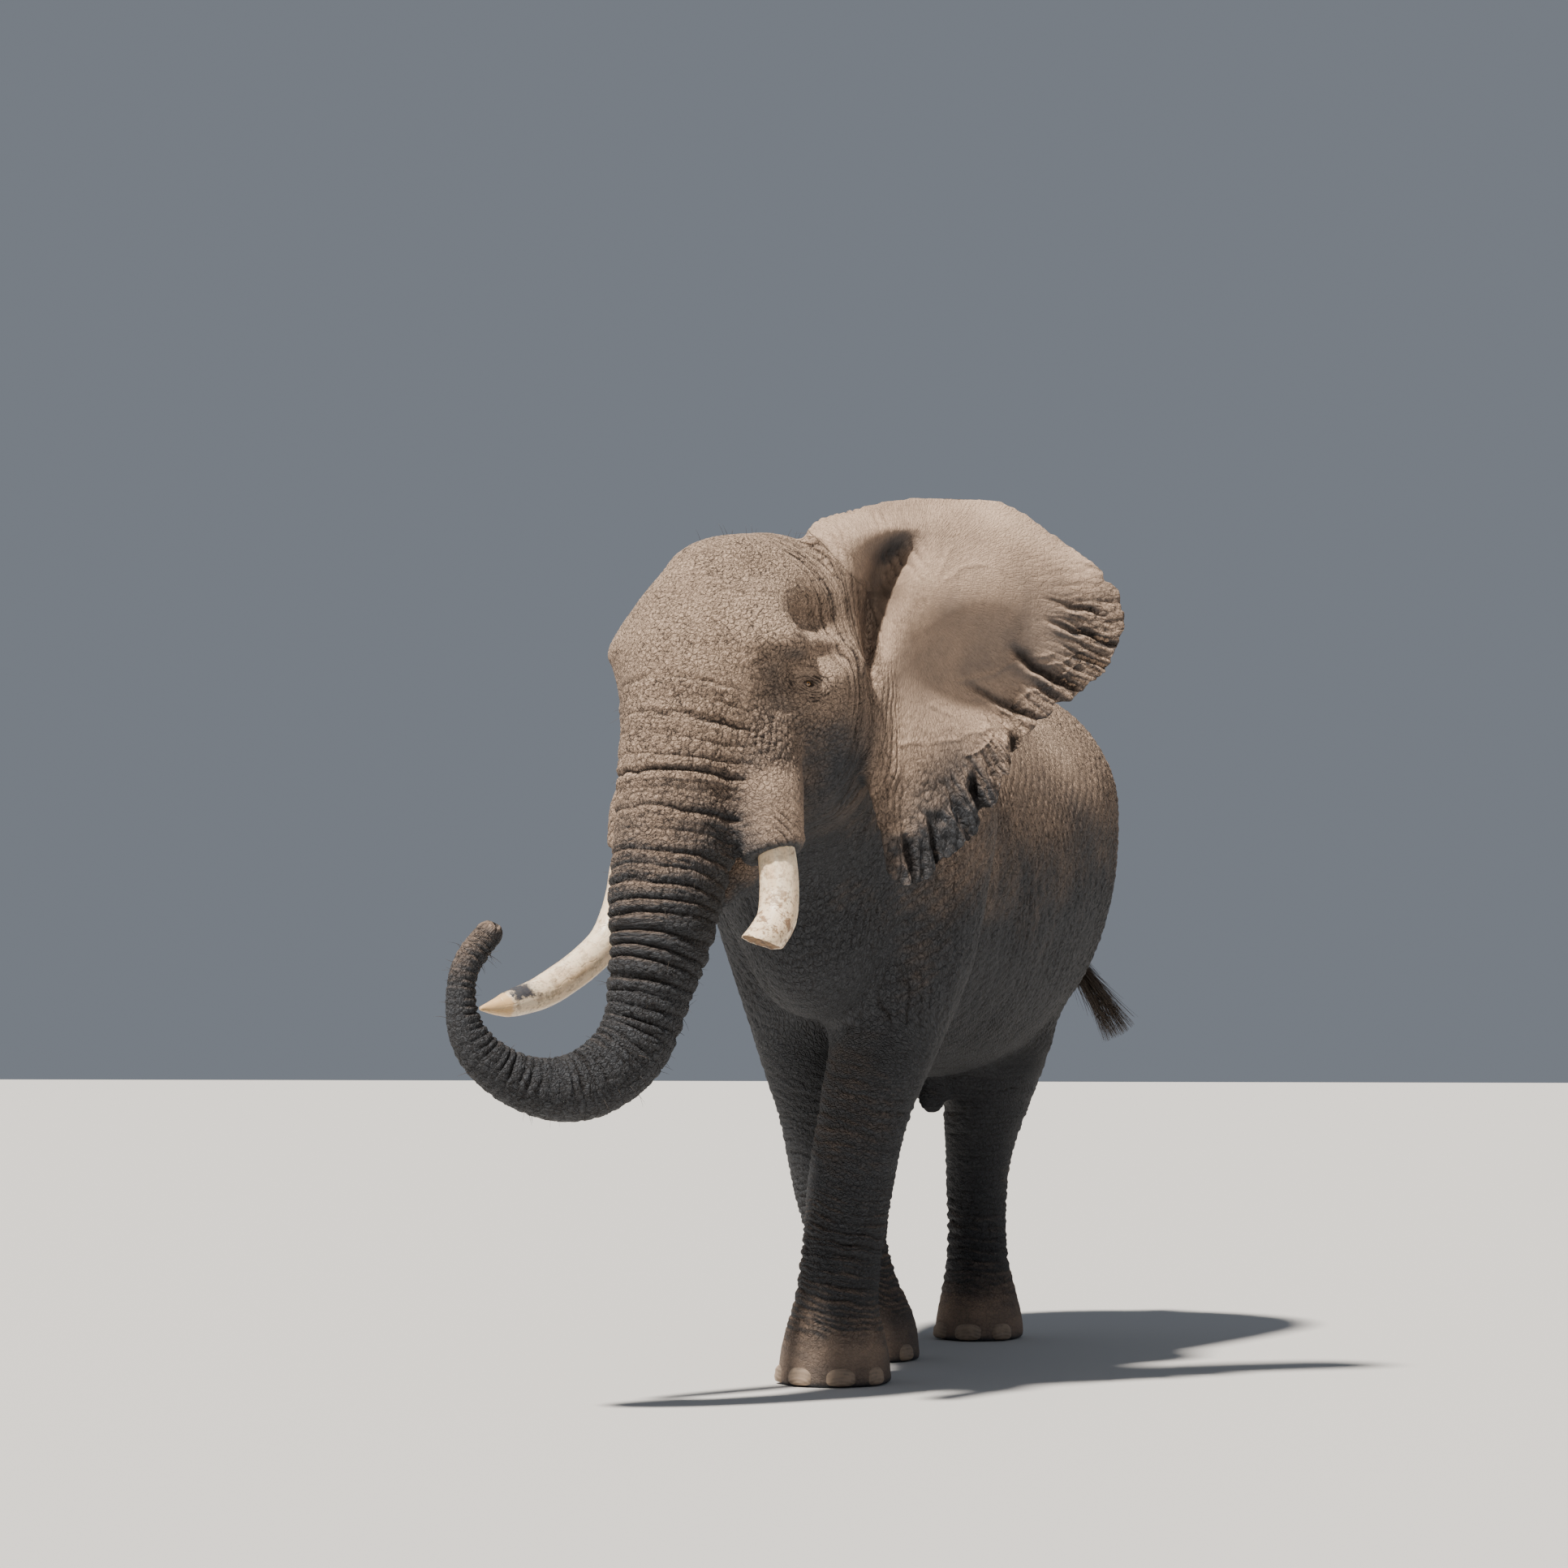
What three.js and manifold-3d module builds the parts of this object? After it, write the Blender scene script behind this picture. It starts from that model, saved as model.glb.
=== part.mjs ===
// A mature African bush elephant bull, walking, at life size.
// Millimetres. +Z is up, the animal walks towards -Y, its left side is +X, and its soles stand on Z = 0.
// Flesh is one smooth field of blended forms, parted into named pieces by thin plane cuts.
import * as THREE from "three";
import { mergeVertices } from "three/addons/utils/BufferGeometryUtils.js";
import Module from "manifold-3d";

const wasm = await Module();
wasm.setup();

// ---------- driving dimensions ----------
const GAP = 0.5; // between neighbouring pieces
const FILL = 1; // depth given to a grid corner that closes a pinch too fine for the grid
const EAR_GAP = 4; // between an ear and the head it grows from
const CENTRE = [-148, 525, 0]; // brings the middle of the animal's footprint box to the origin
const FAR = 6000; // beyond the animal, for cutting blocks
const PULLS = 3; // times each corner of a blended piece is pulled onto its surface
const PULL_MOST = 0.3; // of the facet size, the most a pull moves a corner
const NUDGE = 2; // step over which a field's slope is read
const LEAST_STEEP = 0.2; // slope, squared, below which a pull is held back
const GRAIN = { torso: 156, neck: 134, head: 90 }; // facet size of each blended piece

// The barrel of the body, by distance along Y: top, widest level, underside, half width.
const BARREL = [
  [-1500, 2560, 2260, 1960, 70],
  [-1420, 2790, 2260, 1720, 240],
  [-1220, 3010, 2260, 1530, 360],
  [-900, 3160, 2240, 1420, 465],
  [-500, 3130, 2210, 1350, 575],
  [0, 3040, 2180, 1255, 715],
  [450, 3030, 2260, 1200, 815],
  [800, 3080, 2400, 1250, 855],
  [1150, 3030, 2450, 1430, 785],
  [1440, 2850, 2430, 1660, 590],
  [1620, 2620, 2350, 1880, 330],
  [1700, 2430, 2280, 2040, 80],
];
const BARREL_UPPER = 2; // roundness above the widest level
const BARREL_LOWER = 2.2; // roundness below it

// Masses that swell the barrel: middle, half sizes, and how widely each blends in.
const SHOULDER_BLADE = { at: [330, -930, 2380], size: [190, 330, 640], blend: 160 };
const HAUNCH = { at: [400, 900, 2180], size: [300, 420, 640], blend: 180 };
const BUTTOCK = { at: [240, 1330, 2150], size: [250, 300, 560], blend: 160 };
const BRISKET = { at: [0, -1250, 1800], size: [250, 300, 330], blend: 150 };
const SHEATH = [[0, 1000, 1340, 130], [8, 820, 1200, 96], [12, 700, 1092, 60]];
const SHEATH_BLEND = 110;

// Each leg from the sole up: x, y, z, radius.
const FORE_LEFT = [
  [72, -1220, 20, 232],
  [72, -1218, 130, 216],
  [76, -1204, 300, 176],
  [90, -1170, 520, 168],
  [110, -1122, 760, 178],
  [146, -1056, 1040, 188],
  [206, -970, 1330, 222],
  [310, -900, 1720, 270],
  [380, -860, 2250, 290],
];
const FORE_RIGHT = [
  [-70, -150, 20, 230],
  [-74, -160, 130, 214],
  [-92, -222, 300, 176],
  [-116, -320, 520, 172],
  [-140, -420, 760, 182],
  [-160, -540, 1040, 188],
  [-190, -680, 1340, 212],
  [-255, -800, 1720, 235],
  [-335, -860, 2250, 270],
];
const HIND_LEFT = [
  [145, 1070, 20, 222],
  [142, 1080, 130, 204],
  [128, 1112, 330, 164],
  [120, 1130, 560, 155],
  [136, 1106, 850, 172],
  [190, 1050, 1130, 226],
  [250, 1010, 1450, 298],
  [350, 960, 2050, 350],
];
const HIND_RIGHT = [
  [-320, 430, 20, 222],
  [-318, 444, 130, 204],
  [-306, 496, 330, 166],
  [-300, 552, 560, 157],
  [-300, 636, 850, 174],
  [-315, 732, 1130, 226],
  [-340, 850, 1450, 305],
  [-380, 925, 2050, 345],
];
const LEG_BLEND = 90;
// Rings of a leg, as parts of its height.
const LEG_LEVELS = [0, 0.05, 0.11, 0.18, 0.27, 0.38, 0.5, 0.62, 0.74, 0.87, 1];
const LEG_SIDES = 12;
const LEG_REACH = 420; // beyond any leg's skin from its middle
const FORE_SQUASH = [1, 1.06, 1];
const HIND_SQUASH = [0.94, 1.16, 1];

// The neck runs from the chest to the back of the skull.
const NECK = [
  [0, -1120, 2390, 560],
  [-14, -1440, 2500, 500],
  [-40, -1720, 2620, 440],
  [-56, -1900, 2700, 410],
];
const NECK_SQUASH = [0.8, 1, 1.08];
const NECK_BLEND = 180;
const HEAD_BLEND = 120;

// The head has a frame of its own, turned to the animal's right.
const HEAD_AT = [-60, -2000, 2780];
const HEAD_TURN = -20;
const SKULL = { at: [0, 90, 120], size: [395, 400, 415] };
const FOREHEAD = { at: [0, -190, 70], size: [350, 262, 400], blend: 140 };
const SIDE_MASSES = [
  { at: [298, -190, -10], size: [130, 170, 190], blend: 120 }, // brow
  { at: [335, 20, -120], size: [130, 250, 230], blend: 120 }, // cheek bone
  { at: [215, 170, -330], size: [200, 260, 270], blend: 140 }, // jaw angle
];
const SIDE_HOLLOWS = [
  { at: [420, -70, 150], size: [95, 150, 150], blend: 110 }, // temple
  { at: [432, -205, -45], size: [62, 90, 78], blend: 70 }, // eye socket
];
const TRUNK_ROOT_BLEND = 90;
const TUSK_SHEATH = [[190, -240, -180, 170], [262, -252, -430, 150], [322, -292, -668, 124]];
const TUSK_SHEATH_BLEND = 80;
const LOWER_JAW = [[0, 120, -430, 220], [0, 0, -640, 165], [0, -105, -790, 105], [0, -165, -880, 52]];
const LOWER_JAW_BLEND = 60;

// Trunk centre line in the head's frame: x, y, z, radius. It hangs, then curls forward and to the right.
const TRUNK_HANGING = [
  [0, -285, -40, 250],
  [0, -368, -290, 256],
  [0, -418, -530, 240],
  [0, -474, -780, 222],
  [0, -512, -923, 211],
  [4, -540, -1070, 186],
];
const CURL_TURN = 33; // from straight ahead to the animal's right
const CURL_FROM = [0, -562, 0];
// Distance along the curl, height and radius.
const TRUNK_CURL = [
  [20, -1220, 163],
  [39, -1320, 148],
  [79, -1427, 143],
  [147, -1513, 139],
  [261, -1584, 131],
  [391, -1604, 116],
  [546, -1563, 97],
  [670, -1471, 82],
  [722, -1385, 68],
  [740, -1290, 58],
  [738, -1220, 54],
  [719, -1155, 54],
  [680, -1095, 55],
  [640, -1045, 50],
];
const TRUNK_CUTS = [18, 32, 46, 60]; // stations where the trunk leaves the head and is parted
const TRUNK_SIDES = 12;

// Tusks in the head's frame, for the left side: x, y, z, radius. The left one is broken off short.
const TUSK_ROOT = [
  [262, -236, -470, 64],
  [310, -270, -620, 70],
];
const TUSK_WHOLE = [
  [336, -304, -770, 72],
  [332, -338, -870, 70],
  [332, -376, -960, 69],
  [342, -430, -1050, 68],
  [362, -530, -1135, 67],
  [384, -635, -1200, 66],
  [406, -740, -1252, 62],
  [428, -855, -1286, 54],
  [442, -915, -1300, 41],
  [465, -1015, -1312, 6],
];
const TUSK_BROKEN = [
  [366, -302, -775, 73],
  [385, -320, -900, 74],
  [395, -350, -983, 75],
  [402, -405, -1036, 74],
  [408, -465, -1075, 72],
  [414, -530, -1112, 70],
];

const EYE_AT = [388, -160, -100]; // left eye in the head's frame
const EYE_RADIUS = 24;
const BREAK = { at: [404, -440, -1078], facing: [-0.12, -0.22, -0.97] }; // end of the broken tusk

// Ear outline in the ear's own plane: distance out from the root, height above the floor.
const EAR_OUTLINE = [
  [-300, 3262],
  [-262, 3350],
  [-115, 3408],
  [49, 3460],
  [214, 3486],
  [378, 3494],
  [572, 3474],
  [728, 3378],
  [840, 3290],
  [930, 3186],
  [985, 3064],
  [980, 2922],
  [930, 2802],
  [828, 2700],
  [700, 2612],
  [590, 2500],
  [518, 2380],
  [468, 2270],
  [395, 2160],
  [296, 2055],
  [181, 1968],
  [82, 1929],
  [10, 1954],
  [-30, 2097],
  [-90, 2350],
  [-160, 2700],
  [-240, 3020],
];
const EAR_MIDDLE = [330, 2800];
const EAR_ROOT = [440, 270]; // in the head's frame, level with the eye
const EAR_LEVEL = 2600; // height at which the ear's root line is given
const EAR_SPREAD = { left: 38, right: 53 }; // from straight back, outwards
const EAR_DROP = { left: 0, right: 13 }; // outer part let down, in degrees
const EAR_TALL = { left: 1, right: 0.95 }; // the right ear is held a little folded
const EAR_THICK = 15; // half the thickness at the middle
const EAR_RIM = 6; // half the thickness at the rim
const EAR_CUP = 70; // how far the outer edge comes forward
const EAR_CUP_AT = 700; // from the middle
const EAR_LEAN = 0.06; // how far the lower edge comes forward, for each step down
const EAR_AROUND = 36;
const EAR_RINGS = 3;

// Tail centre line: x, y, z, radius, then its brush.
const TAIL = [
  [0, 1430, 2620, 96],
  [0, 1590, 2570, 100],
  [6, 1710, 2450, 72],
  [40, 1798, 2280, 48],
  [150, 1850, 2110, 38],
  [300, 1862, 1930, 32],
  [430, 1858, 1770, 30],
  [490, 1880, 1680, 46],
  [560, 1912, 1560, 52],
  [610, 1945, 1450, 40],
  [632, 1962, 1385, 12],
];
const BRUSH_FROM = 18; // station where the tail's brush starts
const TAIL_SIDES = 8;
const TUSK_SIDES = 10;

// Toenails: bearing on the foot from straight ahead, in degrees, and half width.
const FORE_NAILS = [[-62, 52], [-21, 66], [21, 66], [62, 52]];
const HIND_NAILS = [[-40, 56], [0, 64], [40, 56]];
const NAIL_HEIGHT = 78;
const NAIL_DEPTH = 30; // let into the foot
const NAIL_PROUD = 11; // beyond the foot's sole edge
const NAIL_SOLE = 6; // above the floor
const NAIL_BULGE = 0.45; // height of the nail's fullest part, of its height
// Distance from the foot's face, inset and backward lean of the plate's rings.
const NAIL_RINGS = [[-NAIL_DEPTH, 0, 0.1], [3, 0, 0.16], [NAIL_PROUD, 0.3, 0.16]];
const NAIL_ARCH = [[-0.86, 0], [0.86, 0], [1, 0.42], [0.6, 0.92], [-0.6, 0.92], [-1, 0.42]];

// Cuts. Each leg has a block of room below its top, and a plane between it and its fellow.
const NECK_CUT = { at: [0, -1330, 2300], facing: [0, -1, 0.16] };
const BETWEEN_FORE = { at: [5, -780, 0], facing: [0.7, -0.71, 0] };
const BETWEEN_HIND = { at: [-70, 840, 0], facing: [0.87, 0.5, 0] };
const otherSide = ({ at, facing }) => ({ at, facing: facing.map((v) => -v) });
const ROOMS = {
  foreLeft: { box: [-260, 760, -1640, -560], top: 1300, between: BETWEEN_FORE },
  foreRight: { box: [-760, 260, -1240, 180], top: 1290, between: otherSide(BETWEEN_FORE) },
  hindLeft: { box: [-150, 760, 690, 1560], top: 1000, between: BETWEEN_HIND },
  hindRight: { box: [-760, -96, 120, 1200], top: 1000, between: otherSide(BETWEEN_HIND) },
};

// ---------- small maths ----------
const vec = ([x, y, z]) => new THREE.Vector3(x, y, z);
const dot = (a, b) => a[0] * b[0] + a[1] * b[1] + a[2] * b[2];
const rad = THREE.MathUtils.degToRad;
const mix = THREE.MathUtils.lerp;
const HEAD_COS = Math.cos(rad(HEAD_TURN));
const HEAD_SIN = Math.sin(rad(HEAD_TURN));

/** A point of the head's frame in the body's frame. */
function fromHead([x, y, z]) {
  return [
    HEAD_AT[0] + HEAD_COS * x - HEAD_SIN * y,
    HEAD_AT[1] + HEAD_SIN * x + HEAD_COS * y,
    HEAD_AT[2] + z,
  ];
}

const inWorld = (stations) => stations.map(([x, y, z, r]) => [...fromHead([x, y, z]), r]);

/** A point of the body's frame in the head's frame. */
function toHead([x, y, z]) {
  const dx = x - HEAD_AT[0];
  const dy = y - HEAD_AT[1];
  return [HEAD_COS * dx + HEAD_SIN * dy, HEAD_COS * dy - HEAD_SIN * dx, z - HEAD_AT[2]];
}

/** Columns of a table at a value of its first column, on a smooth curve through its rows. */
function tableAt(table, value) {
  const last = table.length - 1;
  let i = 0;
  while (i < last - 1 && value > table[i + 1][0]) i++;
  const span = table[i + 1][0] - table[i][0];
  const t = THREE.MathUtils.clamp((value - table[i][0]) / span, 0, 1);
  const slope = (k, c) => {
    const lo = Math.max(k - 1, 0);
    const hi = Math.min(k + 1, last);
    return (table[hi][c] - table[lo][c]) / (table[hi][0] - table[lo][0]);
  };
  return table[i].map((from, c) => {
    const to = table[i + 1][c];
    return (
      from * (1 + 2 * t) * (1 - t) ** 2 +
      to * t * t * (3 - 2 * t) +
      span * (slope(i, c) * t * (1 - t) ** 2 - slope(i + 1, c) * t * t * (1 - t))
    );
  });
}

/** More stations on a smooth curve through the given ones; each is x, y, z, radius. */
function smoothStations(stations, perSpan) {
  const line = new THREE.CatmullRomCurve3(stations.map(vec), false, "centripetal");
  const spans = stations.length - 1;
  const radii = stations.map((s, i) => [i, s[3]]);
  return Array.from({ length: spans * perSpan + 1 }, (_, k) => {
    const t = k / perSpan;
    const at = line.getPoint(t / spans);
    return [at.x, at.y, at.z, tableAt(radii, t)[1]];
  });
}

/** Unit direction of a line of stations at one of them. */
function towards(stations, i) {
  const from = stations[Math.max(i - 1, 0)];
  const to = stations[Math.min(i + 1, stations.length - 1)];
  return new THREE.Vector3(to[0] - from[0], to[1] - from[1], to[2] - from[2]).normalize();
}

// ---------- fields: negative inside, roughly a distance ----------
const joined = (a, b, k) => Math.min(a, b) - (Math.max(k - Math.abs(a - b), 0) / k) ** 2 * k * 0.25;
const hollowed = (a, b, k) => -joined(-a, b, k);

function ball(p, at, size) {
  const q = [0, 1, 2].map((i) => (p[i] - at[i]) / size[i]);
  const k0 = Math.hypot(...q);
  const k1 = Math.hypot(...q.map((v, i) => v / size[i]));
  return k1 < 1e-9 ? -Math.min(...size) : (k0 * (k0 - 1)) / k1;
}

const withMass = (d, p, { at, size, blend }) => joined(d, ball(p, at, size), blend);

function limb(p, stations, squash = [1, 1, 1]) {
  const scale = (squash[0] + squash[1] + squash[2]) / 3;
  let nearest = Infinity;
  for (let i = 0; i + 1 < stations.length; i++) {
    const [a, b] = [stations[i], stations[i + 1]];
    const run = [0, 1, 2].map((c) => (b[c] - a[c]) / squash[c]);
    const from = [0, 1, 2].map((c) => (p[c] - a[c]) / squash[c]);
    const along = dot(run, from) / dot(run, run);
    const t = THREE.MathUtils.clamp(along, 0, 1);
    const away = Math.hypot(...from.map((v, c) => v - run[c] * t));
    nearest = Math.min(nearest, away - mix(a[3], b[3], t) / scale);
  }
  return nearest * scale;
}

function barrel([x, y, z]) {
  const [, top, middle, bottom, half] = tableAt(BARREL, y);
  const tall = z > middle ? top - middle : middle - bottom;
  const power = z > middle ? BARREL_UPPER : BARREL_LOWER;
  const q = ((Math.abs(x) / half) ** power + (Math.abs(z - middle) / tall) ** power) ** (1 / power);
  const past = Math.max(BARREL[0][0] - y, y - BARREL[BARREL.length - 1][0], 0);
  return (q - 1) * Math.min(half, tall) + past;
}

const legFrom = (table, squash, nails, room) => ({
  stations: smoothStations(table, 3),
  squash,
  nails,
  room,
});
const LEGS = {
  foreleg_left: legFrom(FORE_LEFT, FORE_SQUASH, FORE_NAILS, ROOMS.foreLeft),
  foreleg_right: legFrom(FORE_RIGHT, FORE_SQUASH, FORE_NAILS, ROOMS.foreRight),
  hindleg_left: legFrom(HIND_LEFT, HIND_SQUASH, HIND_NAILS, ROOMS.hindLeft),
  hindleg_right: legFrom(HIND_RIGHT, HIND_SQUASH, HIND_NAILS, ROOMS.hindRight),
};
const NECK_LINE = smoothStations(NECK, 3);
const curlStation = ([out, z, r]) => [
  CURL_FROM[0] - Math.sin(rad(CURL_TURN)) * out,
  CURL_FROM[1] - Math.cos(rad(CURL_TURN)) * out,
  z,
  r,
];
const TRUNK_OWN = smoothStations([...TRUNK_HANGING, ...TRUNK_CURL.map(curlStation)], 4);
const TAIL_LINE = smoothStations(TAIL, 3);
const TRUNK_ROOT = TRUNK_OWN.slice(0, 4 * (TRUNK_HANGING.length - 1) + 1);
const TRUNK_LINE = inWorld(TRUNK_OWN);

function torsoField(p) {
  const side = [Math.abs(p[0]), p[1], p[2]];
  let d = barrel(p);
  for (const mass of [SHOULDER_BLADE, HAUNCH, BUTTOCK]) d = withMass(d, side, mass);
  d = withMass(d, p, BRISKET);
  return joined(d, limb(p, SHEATH), SHEATH_BLEND);
}

function headField(world) {
  const p = toHead(world);
  const side = [Math.abs(p[0]), p[1], p[2]];
  let d = withMass(ball(p, SKULL.at, SKULL.size), p, FOREHEAD);
  for (const mass of SIDE_MASSES) d = withMass(d, side, mass);
  d = joined(d, limb(p, TRUNK_ROOT), TRUNK_ROOT_BLEND);
  d = joined(d, limb(side, TUSK_SHEATH), TUSK_SHEATH_BLEND);
  d = joined(d, limb(p, LOWER_JAW), LOWER_JAW_BLEND);
  for (const { at, size, blend } of SIDE_HOLLOWS) d = hollowed(d, ball(side, at, size), blend);
  return d;
}

const neckField = (p) => limb(p, NECK_LINE, NECK_SQUASH);

function bodyField(p) {
  let d = torsoField(p);
  for (const leg of Object.values(LEGS)) d = joined(d, limb(p, leg.stations, leg.squash), LEG_BLEND);
  d = joined(d, neckField(p), NECK_BLEND);
  return joined(d, headField(p), HEAD_BLEND);
}

// ---------- solids ----------
/** A geometry's triangles, with shared corners merged, as a manifold solid. */
function solidOf(geometry) {
  const plain = geometry.clone();
  plain.deleteAttribute("normal");
  plain.deleteAttribute("uv");
  const merged = mergeVertices(plain, 1e-3);
  return new wasm.Manifold(
    new wasm.Mesh({
      numProp: 3,
      vertProperties: new Float32Array(merged.attributes.position.array),
      triVerts: new Uint32Array(merged.index.array),
    }),
  );
}

function geometryOf(solid) {
  const mesh = solid.getMesh();
  const geometry = new THREE.BufferGeometry();
  geometry.setAttribute("position", new THREE.Float32BufferAttribute(mesh.vertProperties, 3));
  geometry.setIndex(Array.from(mesh.triVerts));
  geometry.computeVertexNormals();
  return geometry;
}

function geometryFrom(points, triangles) {
  const geometry = new THREE.BufferGeometry();
  geometry.setAttribute("position", new THREE.Float32BufferAttribute(points.flat(), 3));
  geometry.setIndex(triangles.flat());
  return geometry;
}

const biggest = (solid) => solid.decompose().sort((a, b) => b.volume() - a.volume())[0];

/** Whether the corners of a cell that a mask names hang together along the cell's edges. */
function hangTogether(mask) {
  let seen = mask & -mask;
  for (let before = -1; before !== seen; ) {
    before = seen;
    for (let c = 0; c < 8; c++)
      for (const edge of [1, 2, 4]) if (seen & (1 << c)) seen |= mask & (1 << (c ^ edge));
  }
  return seen === mask;
}

/** Moves a point towards a field's surface, along the field's slope. */
function pullOnto(field, p, most) {
  const here = field(p);
  const slope = [0, 1, 2].map((c) => {
    const q = [...p];
    q[c] += NUDGE;
    return (field(q) - here) / NUDGE;
  });
  const pull = THREE.MathUtils.clamp(here / Math.max(dot(slope, slope), LEAST_STEEP), -most, most);
  slope.forEach((s, c) => { p[c] -= pull * s; });
}

/** A field's surface in a box as a closed mesh: a corner in each crossed cell, pulled onto the surface. */
function polygonise(field, low, high, step) {
  const count = low.map((v, i) => Math.ceil((high[i] - v) / step) + 3);
  const place = (i, j, k) => [low[0] + (i - 1) * step, low[1] + (j - 1) * step, low[2] + (k - 1) * step];
  const boxed = (p) => Math.max(field(p), ...p.map((v, c) => Math.max(low[c] - v, v - high[c])));
  const at = (i, j, k) => (k * count[1] + j) * count[0] + i;
  const values = new Float64Array(count[0] * count[1] * count[2]);
  const everyCell = (visit, less) => {
    for (let k = 0; k < count[2] - less; k++)
      for (let j = 0; j < count[1] - less; j++)
        for (let i = 0; i < count[0] - less; i++) visit(i, j, k);
  };
  everyCell((i, j, k) => { values[at(i, j, k)] = boxed(place(i, j, k)); }, 0);
  const corners = [0, 1, 2, 3, 4, 5, 6, 7].map((c) => [c & 1, (c >> 1) & 1, c >> 2]);
  const cornersAt = (i, j, k) => corners.map(([a, b, c]) => at(i + a, j + b, k + c));
  for (let filling = true; filling; ) {
    filling = false;
    everyCell((i, j, k) => {
      const cell = cornersAt(i, j, k);
      const inside = cell.reduce((mask, c, bit) => mask | ((values[c] <= 0) << bit), 0);
      if (hangTogether(inside) && hangTogether(255 & ~inside)) return;
      const outside = cell.filter((c) => values[c] > 0);
      values[outside.sort((a, b) => values[a] - values[b])[0]] = -FILL;
      filling = true;
    }, 1);
  }
  const points = [];
  const pointOf = new Map();
  everyCell((i, j, k) => {
    const v = cornersAt(i, j, k).map((c) => values[c]);
    if (v.every((x) => x > 0) || v.every((x) => x <= 0)) return;
    const sum = [0, 0, 0];
    let crossings = 0;
    for (let a = 0; a < 8; a++)
      for (let axis = 0; axis < 3; axis++) {
        const b = a | (1 << axis);
        if (b === a || v[a] > 0 === v[b] > 0) continue;
        const t = v[a] / (v[a] - v[b]);
        corners[a].forEach((x, c) => { sum[c] += mix(x, corners[b][c], t); });
        crossings++;
      }
    const base = place(i, j, k);
    pointOf.set(at(i, j, k), points.length);
    points.push(base.map((x, c) => x + (sum[c] / crossings) * step));
  }, 1);
  const triangles = [];
  const ring = [[1, 2], [2, 0], [0, 1]];
  everyCell((i, j, k) => {
    const here = values[at(i, j, k)] > 0;
    for (let axis = 0; axis < 3; axis++) {
      const next = [i, j, k];
      next[axis]++;
      if (next[axis] >= count[axis] || here === values[at(...next)] > 0) continue;
      const [u, w] = ring[axis];
      const quad = [[0, 0], [-1, 0], [-1, -1], [0, -1]].map(([du, dw]) => {
        const cell = [i, j, k];
        cell[u] += du;
        cell[w] += dw;
        return pointOf.get(at(...cell));
      });
      if (here) quad.reverse();
      const far = (a, b) => Math.hypot(...points[a].map((x, c) => x - points[b][c]));
      if (far(quad[0], quad[2]) < far(quad[1], quad[3]))
        triangles.push([quad[0], quad[1], quad[2]], [quad[0], quad[2], quad[3]]);
      else triangles.push([quad[0], quad[1], quad[3]], [quad[1], quad[2], quad[3]]);
    }
  }, 1);
  for (let pass = 0; pass < PULLS; pass++) for (const p of points) pullOnto(boxed, p, PULL_MOST * step);
  return solidOf(geometryFrom(points, triangles));
}

/** Rings of points round a line of stations; shape gives across and up factors for an angle. */
function ringsRound(stations, sides, shape = () => 1) {
  let across = new THREE.Vector3(1, 0, 0);
  return stations.map((s, i) => {
    const ahead = towards(stations, i);
    across = across.clone().addScaledVector(ahead, -across.dot(ahead)).normalize();
    const up = new THREE.Vector3().crossVectors(ahead, across);
    return Array.from({ length: sides }, (_, k) => {
      const angle = (2 * Math.PI * k) / sides;
      const r = s[3] * shape(angle, i);
      return vec(s).addScaledVector(across, Math.cos(angle) * r).addScaledVector(up, Math.sin(angle) * r);
    });
  });
}

/** A closed skin over rings of points, each end closed to the ring's middle. */
function skinned(rings) {
  const sides = rings[0].length;
  const points = rings.flat().map((p) => p.toArray());
  const triangles = [];
  for (let i = 0; i + 1 < rings.length; i++)
    for (let k = 0; k < sides; k++) {
      const a = i * sides + k;
      const b = i * sides + ((k + 1) % sides);
      triangles.push([a, b, b + sides], [a, b + sides, a + sides]);
    }
  for (const ring of [0, rings.length - 1]) {
    const middle = rings[ring].reduce((sum, p) => sum.add(p), new THREE.Vector3()).divideScalar(sides);
    for (let k = 0; k < sides; k++) {
      const pair = [ring * sides + k, ring * sides + ((k + 1) % sides)];
      triangles.push(ring ? [...pair, points.length] : [...pair.reverse(), points.length]);
    }
    points.push(middle.toArray());
  }
  return solidOf(geometryFrom(points, triangles));
}

const tube = (stations, sides) => skinned(ringsRound(stations, sides));
const fattened = (stations, by) => {
  const back = towards(stations, 0).multiplyScalar(-by);
  const first = [...vec(stations[0]).add(back).toArray(), stations[0][3] + by];
  return [first, ...stations.slice(1).map(([x, y, z, r]) => [x, y, z, r + by])];
};

/** Everything on the far side of a plane, as a block. */
function block(at, facing) {
  const normal = vec(facing).normalize();
  const geometry = new THREE.BoxGeometry(2 * FAR, 2 * FAR, 2 * FAR);
  geometry.applyQuaternion(new THREE.Quaternion().setFromUnitVectors(new THREE.Vector3(0, 0, 1), normal));
  geometry.translate(...vec(at).addScaledVector(normal, FAR).toArray());
  return solidOf(geometry);
}

const ahead = ({ at, facing }, by = GAP / 2) =>
  block(vec(at).addScaledVector(vec(facing).normalize(), by).toArray(), facing);
const behind = ({ at, facing }, by = GAP / 2) =>
  ahead({ at, facing: facing.map((v) => -v) }, by);

const FLOOR = { at: [0, 0, 0], facing: [0, 0, 1] };
const trunkCut = (k) => ({ at: TRUNK_LINE[k].slice(0, 3), facing: towards(TRUNK_LINE, k).toArray() });
const HEAD_CUT = { at: [0, 330, 0], facing: [0, -1, 0] };
const turned = ({ at, facing }) => ({
  at: fromHead(at),
  facing: vec(fromHead(facing)).sub(vec(HEAD_AT)).toArray(),
});

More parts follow.
